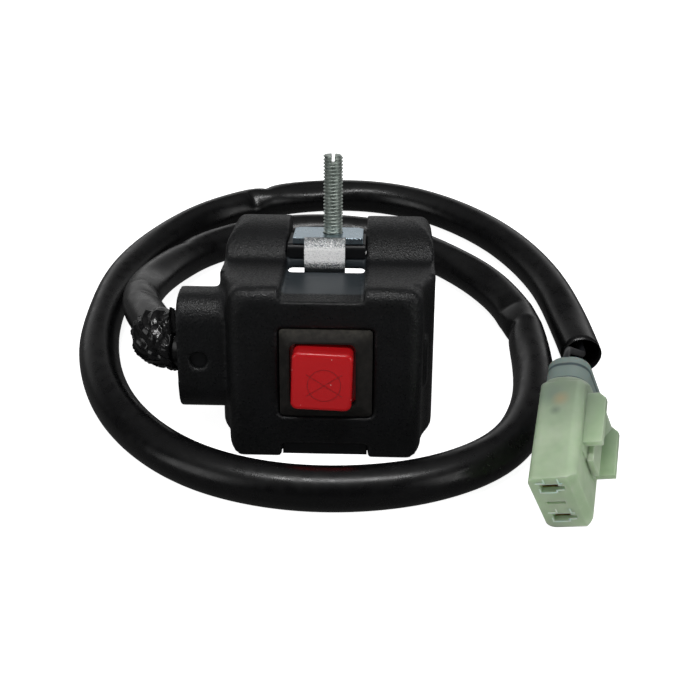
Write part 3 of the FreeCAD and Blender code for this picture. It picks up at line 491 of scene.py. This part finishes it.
def mask(material, value, start_mm, end_mm):
    """0 up to one length and 1 from the other on."""
    return span(material, value, start_mm * MM, end_mm * MM)


def maths(material, operation, a, b=0.0, clamp=False):
    return add(material, "ShaderNodeMath", {0: a, 1: b}, operation=operation,
               use_clamp=clamp).outputs[0]


def distance_from(material, value, middle_mm):
    """How far a value is from a middle, to either side."""
    return maths(material, "ABSOLUTE", maths(material, "SUBTRACT", value, middle_mm * MM))


def mix_colour(material, share, a, b):
    """From colour a to b. A Mix node keeps its colours at sockets 6 and 7 and gives output 2."""
    return add(material, "ShaderNodeMix", {0: share, 6: a, 7: b}, data_type="RGBA").outputs[2]


def soft_edges(material, radius_mm):
    """A normal that turns round an edge over a small radius, as a moulded edge does."""
    return add(material, "ShaderNodeBevel", {"Radius": radius_mm * MM}, samples=6).outputs["Normal"]


def dress(names, material):
    """Gives CAD nodes a material."""
    for name in names:
        mesh = nodes[name].data
        mesh.materials.clear()
        mesh.materials.append(material)
    print(material.name, "on", ", ".join(names))


print("mask helpers ready")

# %% Zinc on the strap
NECK_X = -0.9
zinc, shader = new_material("zinc_plated_steel", Base_Color=linear("#c2ccd2"), Roughness=0.3,
                            Metallic=1.0)
x, y, z = axes_of(zinc, LEANED)
bend_zone = maths(zinc, "MULTIPLY", mask(zinc, y, -10.7, -11.3),
                  mask(zinc, distance_from(zinc, x, NECK_X), 4.2, 4.1))
# painted highlight: the band of the bend that mirrors the white room
painted_highlight_band = maths(zinc, "MULTIPLY", mask(zinc, z, 9.8, 10.7), mask(zinc, z, 13.8, 13.1))
# painted shade: the lower part of the bend
painted_shade_band = mask(zinc, z, 9.6, 9.0)
cloud = grain(zinc, 1.6, 4.0)
crack_grain_and_glints = grain(zinc, 0.28, 3.0, rough=0.75)
# painted glints from the crack grain, plus the painted highlight
painted_glints_and_highlight = maths(zinc, "ADD", span(zinc, crack_grain_and_glints, 0.42, 0.6), maths(zinc, "MULTIPLY", painted_highlight_band, 0.7),
                clamp=True)
flat_colour = mix_colour(zinc, cloud, linear("#a3b5c0"), linear("#c2d2dc"))
# the bend's colour: painted glints and highlight in white, then painted shade in dark grey below
bend_painted_light_colour = mix_colour(zinc, painted_glints_and_highlight, linear("#7d8488"), linear("#ffffff"))
bend_painted_light_colour = mix_colour(zinc, painted_shade_band, bend_painted_light_colour, linear("#3c4042"))
feed(zinc, mix_colour(zinc, bend_zone, flat_colour, bend_painted_light_colour), shader, "Base Color")
# the painted highlight is no metal, so its white colour shows
metal = maths(zinc, "SUBTRACT", 1.0, maths(zinc, "MULTIPLY", bend_zone, painted_highlight_band))
feed(zinc, metal, shader, "Metallic")
roughness = maths(zinc, "ADD", span(zinc, cloud, 0.3, 0.7, 0.24, 0.36),
                  maths(zinc, "MULTIPLY", bend_zone, 0.12))
feed(zinc, roughness, shader, "Roughness")
fine_bump = bump(zinc, grain(zinc, 0.25, 3.0), 0.012, 0.5, soft_edges(zinc, 0.25))
cracks = maths(zinc, "MULTIPLY", crack_grain_and_glints, bend_zone)
feed(zinc, bump(zinc, cracks, 0.22, 0.9, fine_bump), shader, "Normal")
dress(["clamp_strap", "cover_screws", "return_spring"], zinc)

# %% [markdown]
# ## The clamp screw
# The photograph shows the thread's ridges as fine rings. A bump could fake them, but their outline
# against the white would stay smooth. So the screw gets a true M4 thread: a V profile one pitch
# high is spun round the axis while it climbs one pitch a turn, and its two ends are cut flat.

# %% Clamp screw
PITCH = 0.7
SCREW_X, SCREW_Y = 0.5, -6.8
SCREW_LOW, SCREW_TOP = 13.6, 30.5
CREST_R, ROOT_R = 1.97, 1.7
STEPS_PER_TURN = 32
END_TAPER, END_HEIGHT = 0.9, 0.18

thread_zinc, shader = new_material("zinc_plated_thread", Base_Color=linear("#bfc8c0"),
                                   Roughness=0.42, Metallic=1.0)
cloud = span(thread_zinc, grain(thread_zinc, 0.9, 4.0), 0.3, 0.7)
feed(thread_zinc, mix_colour(thread_zinc, cloud, linear("#a2aca5"), linear("#cbd4cd")),
     shader, "Base Color")
feed(thread_zinc, bump(thread_zinc, grain(thread_zinc, 0.2), 0.012, 0.5), shader, "Normal")


def spin_thread(source):
    """Spins the profile of one pitch up the axis, with a turn to spare at each end."""
    profile = [(ROOT_R, 0.0), (ROOT_R, 0.12), (CREST_R, 0.33), (CREST_R, 0.45), (ROOT_R, 0.66),
               (ROOT_R, PITCH)]
    verts = [source.verts.new((radius * MM, 0, height * MM)) for radius, height in profile]
    edges = [source.edges.new(pair) for pair in zip(verts, verts[1:])]
    turns = math.ceil((SCREW_TOP - SCREW_LOW) / PITCH) + 2
    bmesh.ops.spin(source, geom=verts + edges, cent=(0, 0, 0), axis=(0, 0, 1),
                   dvec=(0, 0, PITCH * MM / STEPS_PER_TURN), angle=2 * math.pi * turns,
                   steps=STEPS_PER_TURN * turns)
    bmesh.ops.remove_doubles(source, verts=source.verts, dist=0.01 * MM)


def cut_end(source, height, up):
    """Cuts an end flat and draws its rim in a little, as a chamfer."""
    everything = source.verts[:] + source.edges[:] + source.faces[:]
    bmesh.ops.bisect_plane(source, geom=everything, plane_co=(0, 0, height * MM),
                           plane_no=(0, 0, up), clear_outer=True)
    rim = [edge for edge in source.edges if edge.is_boundary
           and all(abs(vert.co.z - height * MM) < 0.001 * MM for vert in edge.verts)]
    cap = bmesh.ops.extrude_edge_only(source, edges=rim)["geom"]
    cap = [item for item in cap if isinstance(item, bmesh.types.BMVert)]
    bmesh.ops.scale(source, vec=(END_TAPER, END_TAPER, 1.0), verts=cap)
    bmesh.ops.translate(source, vec=(0, 0, up * END_HEIGHT * MM), verts=cap)


def build_screw():
    source = bmesh.new()
    spin_thread(source)
    cut_end(source, PITCH, -1)
    cut_end(source, PITCH + SCREW_TOP - SCREW_LOW, 1)
    close_ends(source)
    foot = (SCREW_X * MM, SCREW_Y * MM, (SCREW_LOW - PITCH) * MM)
    bmesh.ops.translate(source, vec=foot, verts=source.verts)
    bmesh.ops.transform(source, matrix=LEANED, verts=source.verts)
    return make_object("threaded_clamp_screw", source, thread_zinc, SCREW, smooth=False)


screw_piece = build_screw()

# %% [markdown]
# The driver slot is taken out of the screw's top by a Boolean with a thin box. The result is
# read back as a plain mesh, so no modifier is left on the piece.

# %% Driver slot
SLOT_WIDE, SLOT_LONG, SLOT_DEEP = 0.7, 6, 1.7
SLOT_RISE = 0.2


def add_box(source, size, centre):
    """A box in a bmesh, in mm. Gives its vertices."""
    verts = bmesh.ops.create_cube(source, size=1.0)["verts"]
    bmesh.ops.scale(source, vec=Vector(size) * MM, verts=verts)
    bmesh.ops.translate(source, vec=Vector(centre) * MM, verts=verts)
    return verts


def applied(thing):
    """The mesh of an object with its modifiers worked out."""
    bpy.context.view_layer.update()
    seen = thing.evaluated_get(bpy.context.evaluated_depsgraph_get())
    return bpy.data.meshes.new_from_object(seen)


def cut_slot(screw):
    source = bmesh.new()
    add_box(source, (SLOT_WIDE, SLOT_LONG, 2 * SLOT_DEEP),
            (SCREW_X, SCREW_Y, SCREW_TOP + SLOT_RISE))
    bmesh.ops.transform(source, matrix=LEANED, verts=source.verts)
    cutter = link("slot_cutter", mesh_from(source, "slot_cutter"))
    cut = screw.modifiers.new("slot", "BOOLEAN")
    cut.operation = "DIFFERENCE"
    cut.object = cutter
    cut.solver = "EXACT"
    slotted = applied(screw)
    screw.modifiers.clear()
    screw.data = slotted
    bpy.data.objects.remove(cutter)
    print("slot cut,", len(slotted.polygons), "faces")


cut_slot(screw_piece)
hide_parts("clamp_screw")

# %% [markdown]
# ## Plain black moulding
# The housing is glass-filled nylon from a mould that was spark eroded, which leaves a fine even
# grain. It is nearly black, and each grain that faces the lamp glitters. Displacement would make
# true grains at the price of millions of faces, so one noise drives both bump and roughness. In the
# slot under the strap the plastic is smooth, and light from the room makes it greyer; that grey is
# painted light, a lighter base colour in the slot.


# %% Housing material
def mix_value(material, share, a, b):
    """From value a to b. A Mix node keeps its plain values at sockets 2 and 3."""
    return add(material, "ShaderNodeMix", {0: share, 2: a, 3: b}, data_type="FLOAT").outputs[0]


SLOT_X = -0.6
moulded, shader = new_material("spark_eroded_black_plastic", Base_Color=linear("#0b0c0e"),
                               Roughness=0.44, Specular_IOR_Level=0.36)
# the real grain is about 0.1 mm; it is drawn four times as coarse, because finer wouldn't show
fine = grain(moulded, 0.42, rough=0.7)
x, y, z = axes_of(moulded, LEANED)
in_slot = maths(moulded, "MULTIPLY", mask(moulded, distance_from(moulded, x, SLOT_X), 8.0, 7.7),
                maths(moulded, "MULTIPLY", mask(moulded, y, -27.2, -26.2),
                      mask(moulded, z, 6.0, 7.0)))
roughness = span(moulded, fine, 0.35, 0.7, 0.55, 0.24)
feed(moulded, mix_value(moulded, in_slot, roughness, 0.36), shader, "Roughness")
broad = span(moulded, grain(moulded, 6.0, 3.0), 0.35, 0.7)
black = mix_colour(moulded, broad, linear("#090a0b"), linear("#0d0e10"))
# painted light: the lighter grey in the slot stands for the room that the smooth floor mirrors
feed(moulded, mix_colour(moulded, in_slot, black, linear("#30363a")), shader, "Base Color")
feed(moulded, bump(moulded, mix_value(moulded, in_slot, fine, 0.5), 0.13), shader, "Normal")
print("housing material made")

# %% [markdown]
# ## The housing's edges
# Every edge of a moulded part is a little round, because a mould's corners are. A bevel modifier
# fails here, where curved cheeks run into the block. So the solid is remeshed in small voxels and
# smoothed twice, which rounds each edge alike. The two top corners at the front are rounder on the
# real part, so the skin near them is smoothed longer.

# %% Housing mesh
HOUSING_VOXEL = 0.46
SMOOTH_ROUNDS, CORNER_ROUNDS = 2, 24
CORNER_X, CORNER_Y, CORNER_Z, CORNER_REACH = 18.2, -26.0, 9.0, 6.5


def merged_copy(name, distance_mm):
    """A node's mesh with its doubled vertices joined, as a bmesh."""
    source = bmesh.new()
    source.from_mesh(nodes[name].data)
    bmesh.ops.remove_doubles(source, verts=source.verts, dist=distance_mm * MM)
    return source


def relax(source, verts, rounds):
    for _ in range(rounds):
        bmesh.ops.smooth_vert(source, verts=verts, factor=0.5, use_axis_x=True, use_axis_y=True,
                              use_axis_z=True)


def build_housing():
    merged = link("housing_merged", mesh_from(merged_copy("housing", 0.002), "housing_merged"))
    remesh = merged.modifiers.new("voxels", "REMESH")
    remesh.mode = "VOXEL"
    remesh.voxel_size = HOUSING_VOXEL * MM
    fine_mesh = applied(merged)
    source = bmesh.new()
    source.from_mesh(fine_mesh)
    bpy.data.objects.remove(merged)
    bpy.data.meshes.remove(fine_mesh)
    corners = [LEANED @ (Vector((side * CORNER_X, CORNER_Y, CORNER_Z)) * MM) for side in (-1, 1)]
    near = [vert for vert in source.verts
            if min((vert.co - corner).length for corner in corners) < CORNER_REACH * MM]
    relax(source, source.verts, SMOOTH_ROUNDS)
    relax(source, near, CORNER_ROUNDS)
    return make_object("moulded_housing", source, moulded, BODY)


housing = build_housing()
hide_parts("housing")

# %% [markdown]
# ## Smooth black pieces
# The cover, the outlet's pin and the pressure pad come from polished moulds, so they have no grain.
# The pad fills the slot from wall to wall in the photograph. Its solid is a bit narrower, so a
# copy is stretched to the walls.

# %% Smooth black pieces
PAD_LOW_X, PAD_HIGH_X = -8.4 * MM, 7.2 * MM
smooth_black, shader = new_material("smooth_black_plastic", Base_Color=linear("#0d0e10"),
                                    Roughness=0.4, Specular_IOR_Level=0.35)
feed(smooth_black, bump(smooth_black, grain(smooth_black, 0.5), 0.02, 0.4,
                        soft_edges(smooth_black, 0.25)), shader, "Normal")
dress(["underside_cover", "outlet_pin"], smooth_black)


def build_pad():
    source = merged_copy("clamp_pad", 0.001)
    low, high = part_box("clamp_pad")
    middle = (low[0] + high[0]) / 2
    stretch = (PAD_HIGH_X - PAD_LOW_X) / (high[0] - low[0])
    for vert in source.verts:
        vert.co.x = (PAD_LOW_X + PAD_HIGH_X) / 2 + (vert.co.x - middle) * stretch
    return make_object("pressure_pad", source, smooth_black, BODY, smooth=False)


pad = build_pad()
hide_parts("clamp_pad")

# %% [markdown]
# ## Rubber frame
# The frame round the button is dusty rubber. Dust makes it dull, greyer and a bit brown. Its upper
# slope is lighter still, partly from dust, which settles there, and partly from painted light for
# the lamp above. Two noises of about the same size share the work: one breaks up the dust and the
# painted light, the other wears the rubber under it.

# %% Rubber
rubber, shader = new_material("dusty_frame_rubber", Base_Color=linear("#24231f"), Roughness=0.7,
                              Specular_IOR_Level=0.3)
height = axes_of(rubber, LEANED)["Z"]
# upper slope lighter: dust and painted light from the lamp above
dust_and_top_light = maths(rubber, "MULTIPLY", mask(rubber, height, 0.4, 2.2),
             span(rubber, grain(rubber, 1.1, 5.0, rough=0.6), 0.3, 0.65))
wear = span(rubber, grain(rubber, 1.4, 4.0), 0.35, 0.7)
worn = mix_colour(rubber, wear, linear("#131210"), linear("#1e1c19"))
feed(rubber, mix_colour(rubber, dust_and_top_light, worn, linear("#34322c")), shader, "Base Color")
feed(rubber, bump(rubber, grain(rubber, 0.3, 3.0), 0.05, 0.6, soft_edges(rubber, 0.2)),
     shader, "Normal")
dress(["button_frame"], rubber)

# %% [markdown]
# ## The red button
# A glossy red cap of hard plastic, from a polished mould. Its rounded upper edge catches the lamp
# as one thin white line. A few dust specks lie on it: they are the middles of a Voronoi texture's
# cells, which is the shortest way to lone dots.

# %% Button
RED = linear("#b2161b")
red, shader = new_material("glossy_red_plastic", Base_Color=RED, Roughness=0.16,
                           Specular_IOR_Level=0.5)
cells = add(red, "ShaderNodeTexVoronoi", {"Vector": place(red), "Scale": 1 / (2.6 * MM)})
speck = span(red, cells.outputs["Distance"], 0.045, 0.03)
feed(red, mix_colour(red, speck, RED, linear("#d8b4b0")), shader, "Base Color")
feed(red, bump(red, grain(red, 0.9), 0.01, 0.35, soft_edges(red, 0.2)), shader, "Normal")
dress(["button_cap"], red)

# %% [markdown]
# A crossed circle, the usual engine-stop sign, is raised on the cap by the height of a hair.
# A small square is spun round for the ring, and two thin boxes cross it. They are made lying flat
# at the origin, where sizes are easy to follow, and then stood on the cap's leaning face.

# %% Stop sign
RED_FACE_Y = -36.0
SIGN_X, SIGN_Z = 0.15, -6.75
SIGN_R, SIGN_LINE, SIGN_HEIGHT = 3.1, 0.11, 0.05
CROSS_LENGTH, CROSS_TURNS = 8.0, (33, 147)
RING_STEPS = 64
# the sign's darker red is painted shade, for the shadow in its lines
sign_painted_shade_red, shader = new_material("raised_sign_painted_shade", Base_Color=linear("#8c1418"), Roughness=0.3)
feed(sign_painted_shade_red, bump(sign_painted_shade_red, grain(sign_painted_shade_red, 0.5), 0.01, 0.4), shader, "Normal")


def build_sign():
    source = bmesh.new()
    half = SIGN_LINE / 2
    section = [(-half, 0), (-half, SIGN_HEIGHT), (half, SIGN_HEIGHT), (half, 0)]
    verts = [source.verts.new(Vector((SIGN_R + x, 0, z)) * MM) for x, z in section]
    edges = [source.edges.new(pair) for pair in zip(verts, verts[1:] + verts[:1])]
    bmesh.ops.spin(source, geom=verts + edges, cent=(0, 0, 0), axis=(0, 0, 1),
                   angle=2 * math.pi, steps=RING_STEPS, use_merge=True)
    for degrees in CROSS_TURNS:
        bar = add_box(source, (CROSS_LENGTH, SIGN_LINE, SIGN_HEIGHT), (0, 0, SIGN_HEIGHT / 2))
        bmesh.ops.rotate(source, cent=(0, 0, 0), matrix=turn_by(degrees, "Z"), verts=bar)
    on_face = Matrix.Translation(Vector((SIGN_X, RED_FACE_Y, SIGN_Z)) * MM)
    bmesh.ops.transform(source, matrix=LEANED @ on_face @ turn_by(90, "X"), verts=source.verts)
    return make_object("stop_sign_relief", source, sign_painted_shade_red, BUTTON, smooth=False)


sign = build_sign()

# %% [markdown]
# ## Pieces inside
# The plunger and contact block are natural nylon, and the contacts are stamped brass. Little of
# them shows, so plain colours would do in the picture. But a reader who opens the model finds
# them, and so they are dressed as what they are.

# %% Inner materials
natural, shader = new_material("natural_inner_plastic", Base_Color=linear("#b9b1a0"),
                               Roughness=0.5)
feed(natural, bump(natural, grain(natural, 0.5), 0.02, 0.4), shader, "Normal")
dress(["plunger", "contact_base"], natural)

BRASS = linear("#a8895a")
brass, shader = new_material("stamped_brass", Base_Color=BRASS, Roughness=0.36, Metallic=1.0)
tarnish = span(brass, grain(brass, 0.8, 3.0), 0.35, 0.65)
feed(brass, mix_colour(brass, tarnish, linear("#6f5638"), BRASS), shader, "Base Color")
feed(brass, bump(brass, grain(brass, 0.5), 0.02, 0.4), shader, "Normal")
dress(["contact_bridge", "fixed_contact_left", "fixed_contact_right", "plug_terminal_lower",
       "plug_terminal_upper"], brass)
dress(["lead_wire_left", "lead_wire_right", "wire_end_lower", "wire_end_upper"], wire_vinyl)

# %% [markdown]
# ## The plug
# The plug is unfilled nylon, moulded without a dye. It is milky, with a green tint, and light
# wanders in it, so its thin parts glow and nothing in it is quite hidden. Subsurface scattering
# gives the glow. What shows through from inside is too faint to trace, so it is put into the
# colour, as soft spots where the seal and the brass lie.

# %% Plug
PLUG_PLACE = (Matrix.Translation(Vector((41.5, -56.9, -8.6)) * MM)
              @ turn_by(-11.1, "Z") @ turn_by(17.0, "X") @ turn_by(-18.5, "Y"))
# where something shows through, in mm in the plug's own frame, how far it reaches, its colour
SHADOWS = [((-0.8, 18.5, 7.0), 3.4, "#76867c"), ((1.0, 17.2, 7.4), 1.9, "#b59f7c"),
           ((0.3, 14.6, 7.4), 1.3, "#6f7a70")]
SHADOW_STRENGTH = 0.75
nylon, shader = new_material("natural_nylon", Base_Color=linear("#a9bda6"), Roughness=0.36,
                             Subsurface_Weight=0.8, Subsurface_Scale=0.004,
                             Subsurface_Radius=(0.8, 1.0, 0.75), Transmission_Weight=0.12)
plug_vector = place(nylon, PLUG_PLACE)
along = add(nylon, "ShaderNodeSeparateXYZ", {"Vector": plug_vector}).outputs["Y"]
milky = mix_colour(nylon, span(nylon, grain(nylon, 4.0), 0.35, 0.65),
                   linear("#aabf9f"), linear("#b9caae"))
# painted shade: the plug is darker towards its rear, for the shadow of the parts inside
colour_with_painted_shade = mix_colour(nylon, mask(nylon, along, 9, 20), milky, linear("#8c9b86"))
for spot, reach, colour in SHADOWS:
    apart = add(nylon, "ShaderNodeVectorMath", {0: plug_vector, 1: tuple(v * MM for v in spot)},
                operation="DISTANCE").outputs["Value"]
    share = span(nylon, apart, reach * MM, 0.0, 0.0, SHADOW_STRENGTH)
    colour_with_painted_shade = mix_colour(nylon, share, colour_with_painted_shade, linear(colour))
feed(nylon, colour_with_painted_shade, shader, "Base Color")
feed(nylon, bump(nylon, grain(nylon, 0.8), 0.02, 0.4, soft_edges(nylon, 0.3)), shader, "Normal")
dress(["plug_housing", "plug_latch"], nylon)

# %% [markdown]
# The mating face has thin walls round its two cavities. Light runs along them and leaves at their
# edges, which so look white. Tracing that light takes many samples, so the edges are small bars
# with a painted glow, a near-white nylon colour, that stand hardly proud of the face.

# %% Cavity rims
# painted glow: near-white colour for the light that leaves the cavities' edges
painted_glow_nylon, shader = new_material("nylon_edge_painted_glow", Base_Color=linear("#dfe8d8"), Roughness=0.4,
                                 Subsurface_Weight=0.5, Subsurface_Scale=0.002)
feed(painted_glow_nylon, bump(painted_glow_nylon, grain(painted_glow_nylon, 0.5), 0.01, 0.4), shader, "Normal")
# each bar from one corner to the next, across and up from a cavity's middle, in mm
RIM_BARS = [((-2.1, 1.5), (-0.6, 1.5)), ((-0.6, 1.5), (-0.6, 2.5)), ((1.9, 2.5), (1.9, 1.3)),
            ((1.9, 1.3), (2.4, 1.3)), ((-1.9, -1.25), (1.1, -1.25)),
            ((1.1, -1.25), (1.1, -0.55)), ((1.1, -0.55), (2.3, -0.55)),
            ((-1.85, -0.2), (-1.85, -1.25))]
RIM_WIDTH, RIM_PROUD, CAVITY_PITCH = 0.26, 0.08, 8.9


def build_rims():
    source = bmesh.new()
    for side in (-1, 1):
        for (x0, z0), (x1, z1) in RIM_BARS:
            size = (abs(x1 - x0) + RIM_WIDTH, 2 * RIM_PROUD, abs(z1 - z0) + RIM_WIDTH)
            centre = ((x0 + x1) / 2, 0, (z0 + z1) / 2 + side * CAVITY_PITCH / 2)
            add_box(source, size, centre)
    bmesh.ops.transform(source, matrix=PLUG_PLACE, verts=source.verts)
    return make_object("cavity_rims", source, painted_glow_nylon, BODY, smooth=False)


rims = build_rims()

# %% [markdown]
# ## The seal
# The seal behind the plug is pale silicone, which is soft and lets some light in. Its ribs press on
# the nylon in two dark rings. The ribs are in the solid, so the rings only need a colour, laid
# across the plug's own length.

# %% Seal
SEAL = linear("#74827d")
RING_PLACES = (22.5, 25.7)
RING_OUTER, RING_INNER = 0.4, 0.2
silicone, shader = new_material("pale_seal_silicone", Base_Color=SEAL, Roughness=0.5,
                                Subsurface_Weight=0.3, Subsurface_Scale=0.0015)
along = axes_of(silicone, PLUG_PLACE)["Y"]
first, second = (mask(silicone, distance_from(silicone, along, ring), RING_OUTER, RING_INNER)
                 for ring in RING_PLACES)
rings = maths(silicone, "ADD", first, second, clamp=True)
feed(silicone, mix_colour(silicone, rings, SEAL, linear("#39464a")), shader, "Base Color")
feed(silicone, bump(silicone, grain(silicone, 0.4), 0.03, 0.4), shader, "Normal")
dress(["plug_seal"], silicone)

# %% [markdown]
# ## Cord facts
# The cable's length is what the photograph shows, from the outlet to the cut end of the sleeve.
# A library needs it as a number, beside what the cable carries and how it lies, so that another
# scene can lay it anew. Here the length is only printed, where the route is made.

# %% Cord facts
print("cord length printed with the route")

# %% [markdown]
# ## The floor
# The photograph's background is pure white, but little of that white lights the black parts: a
# truly white floor would turn them grey. So floor and world are white for the camera alone, dim in
# gloss, and the floor is a soft grey to all other light.

# %% Floor
FLOOR_HALF = 3.0
FLOOR_SHOWN, FLOOR_MIRRORED = 0.9, 0.06


def white_for_camera(material, shown, mirrored, background, path):
    """A strength for the camera and through glass, another in gloss, and a third elsewhere."""
    seen = maths(material, "MAXIMUM", path["Is Camera Ray"], path["Is Transmission Ray"])
    other = mix_value(material, path["Is Glossy Ray"], background, mirrored)
    return mix_value(material, seen, other, shown)


def build_floor():
    source = bmesh.new()
    bmesh.ops.create_grid(source, x_segments=1, y_segments=1, size=FLOOR_HALF)
    bmesh.ops.translate(source, vec=(0, 0, GROUND_Z), verts=source.verts)
    material, shader = new_material("pale_floor", Roughness=0.9, Specular_IOR_Level=0.0,
                                    Emission_Color=(1.0, 1.0, 1.0, 1.0))
    path = add(material, "ShaderNodeLightPath").outputs
    strength = white_for_camera(material, FLOOR_SHOWN, FLOOR_MIRRORED, 0.0, path)
    feed(material, strength, shader, "Emission Strength")
    grey = mix_colour(material, path["Is Glossy Ray"], linear("#e6e6e6"), linear("#3a3a3a"))
    feed(material, grey, shader, "Base Color")
    mesh = mesh_from(source, "floor")
    mesh.materials.append(material)
    link("floor", mesh)


build_floor()
print("floor laid")

# %% [markdown]
# ## Lamps
# A photographer lights black plastic with what it mirrors, not with brightness. A long narrow lamp
# overhead draws the thin highlights along the cable. Two broad ones, low at the sides, fill the
# faces without a glare on the front.


# %% Lamps
def soft_lamp(name, location, wide, deep, power):
    """A rectangular lamp that faces the origin."""
    data = bpy.data.lights.new(name, "AREA")
    data.shape = "RECTANGLE"
    data.size = wide
    data.size_y = deep
    data.energy = power
    lamp = link(name, data)
    lamp.location = location
    lamp.rotation_euler = (-Vector(location)).to_track_quat("-Z", "Y").to_euler()
    print(name, power, "W")


soft_lamp("overhead", (0.0, -0.13, 0.55), 0.36, 0.05, 1.5)
soft_lamp("left_front", (-0.62, -0.42, 0.3), 0.4, 0.4, 0.9)
soft_lamp("right_front", (0.62, -0.42, 0.25), 0.4, 0.4, 1.1)

# %% [markdown]
# ## The world
# The world is white for the camera and a soft fill for matt faces. In gloss it has two brighter
# parts: a band low behind the object, which flat metal and the housing's top mirror, and a patch
# at the zenith. A picture of a studio would do the same, but a few nodes say it without an image.

# %% World
SKY_SHOWN, SKY_FILL = 1.0, 0.40
SKY_GLOSS, BAND_GLOSS, ZENITH_GLOSS = 0.03, 0.85, 0.3
world = bpy.data.worlds.new("studio")
bpy.context.scene.world = world
world.use_nodes = True
path = add(world, "ShaderNodeLightPath").outputs
direction = add(world, "ShaderNodeTexCoord").outputs["Generated"]
sky = add(world, "ShaderNodeSeparateXYZ", {"Vector": direction}).outputs
band = maths(world, "MULTIPLY", span(world, sky["Y"], 0.35, 0.85),
             span(world, sky["Z"], 0.5, 0.15))
zenith = span(world, sky["Z"], 0.55, 0.95, 0.0, ZENITH_GLOSS)
mirrored = maths(world, "MAXIMUM", span(world, band, 0.0, 1.0, SKY_GLOSS, BAND_GLOSS), zenith)
background = world.node_tree.nodes["Background"]
background.inputs["Color"].default_value = (1, 1, 1, 1)
feed(world, white_for_camera(world, SKY_SHOWN, mirrored, SKY_FILL, path), background, "Strength")
print("world set")
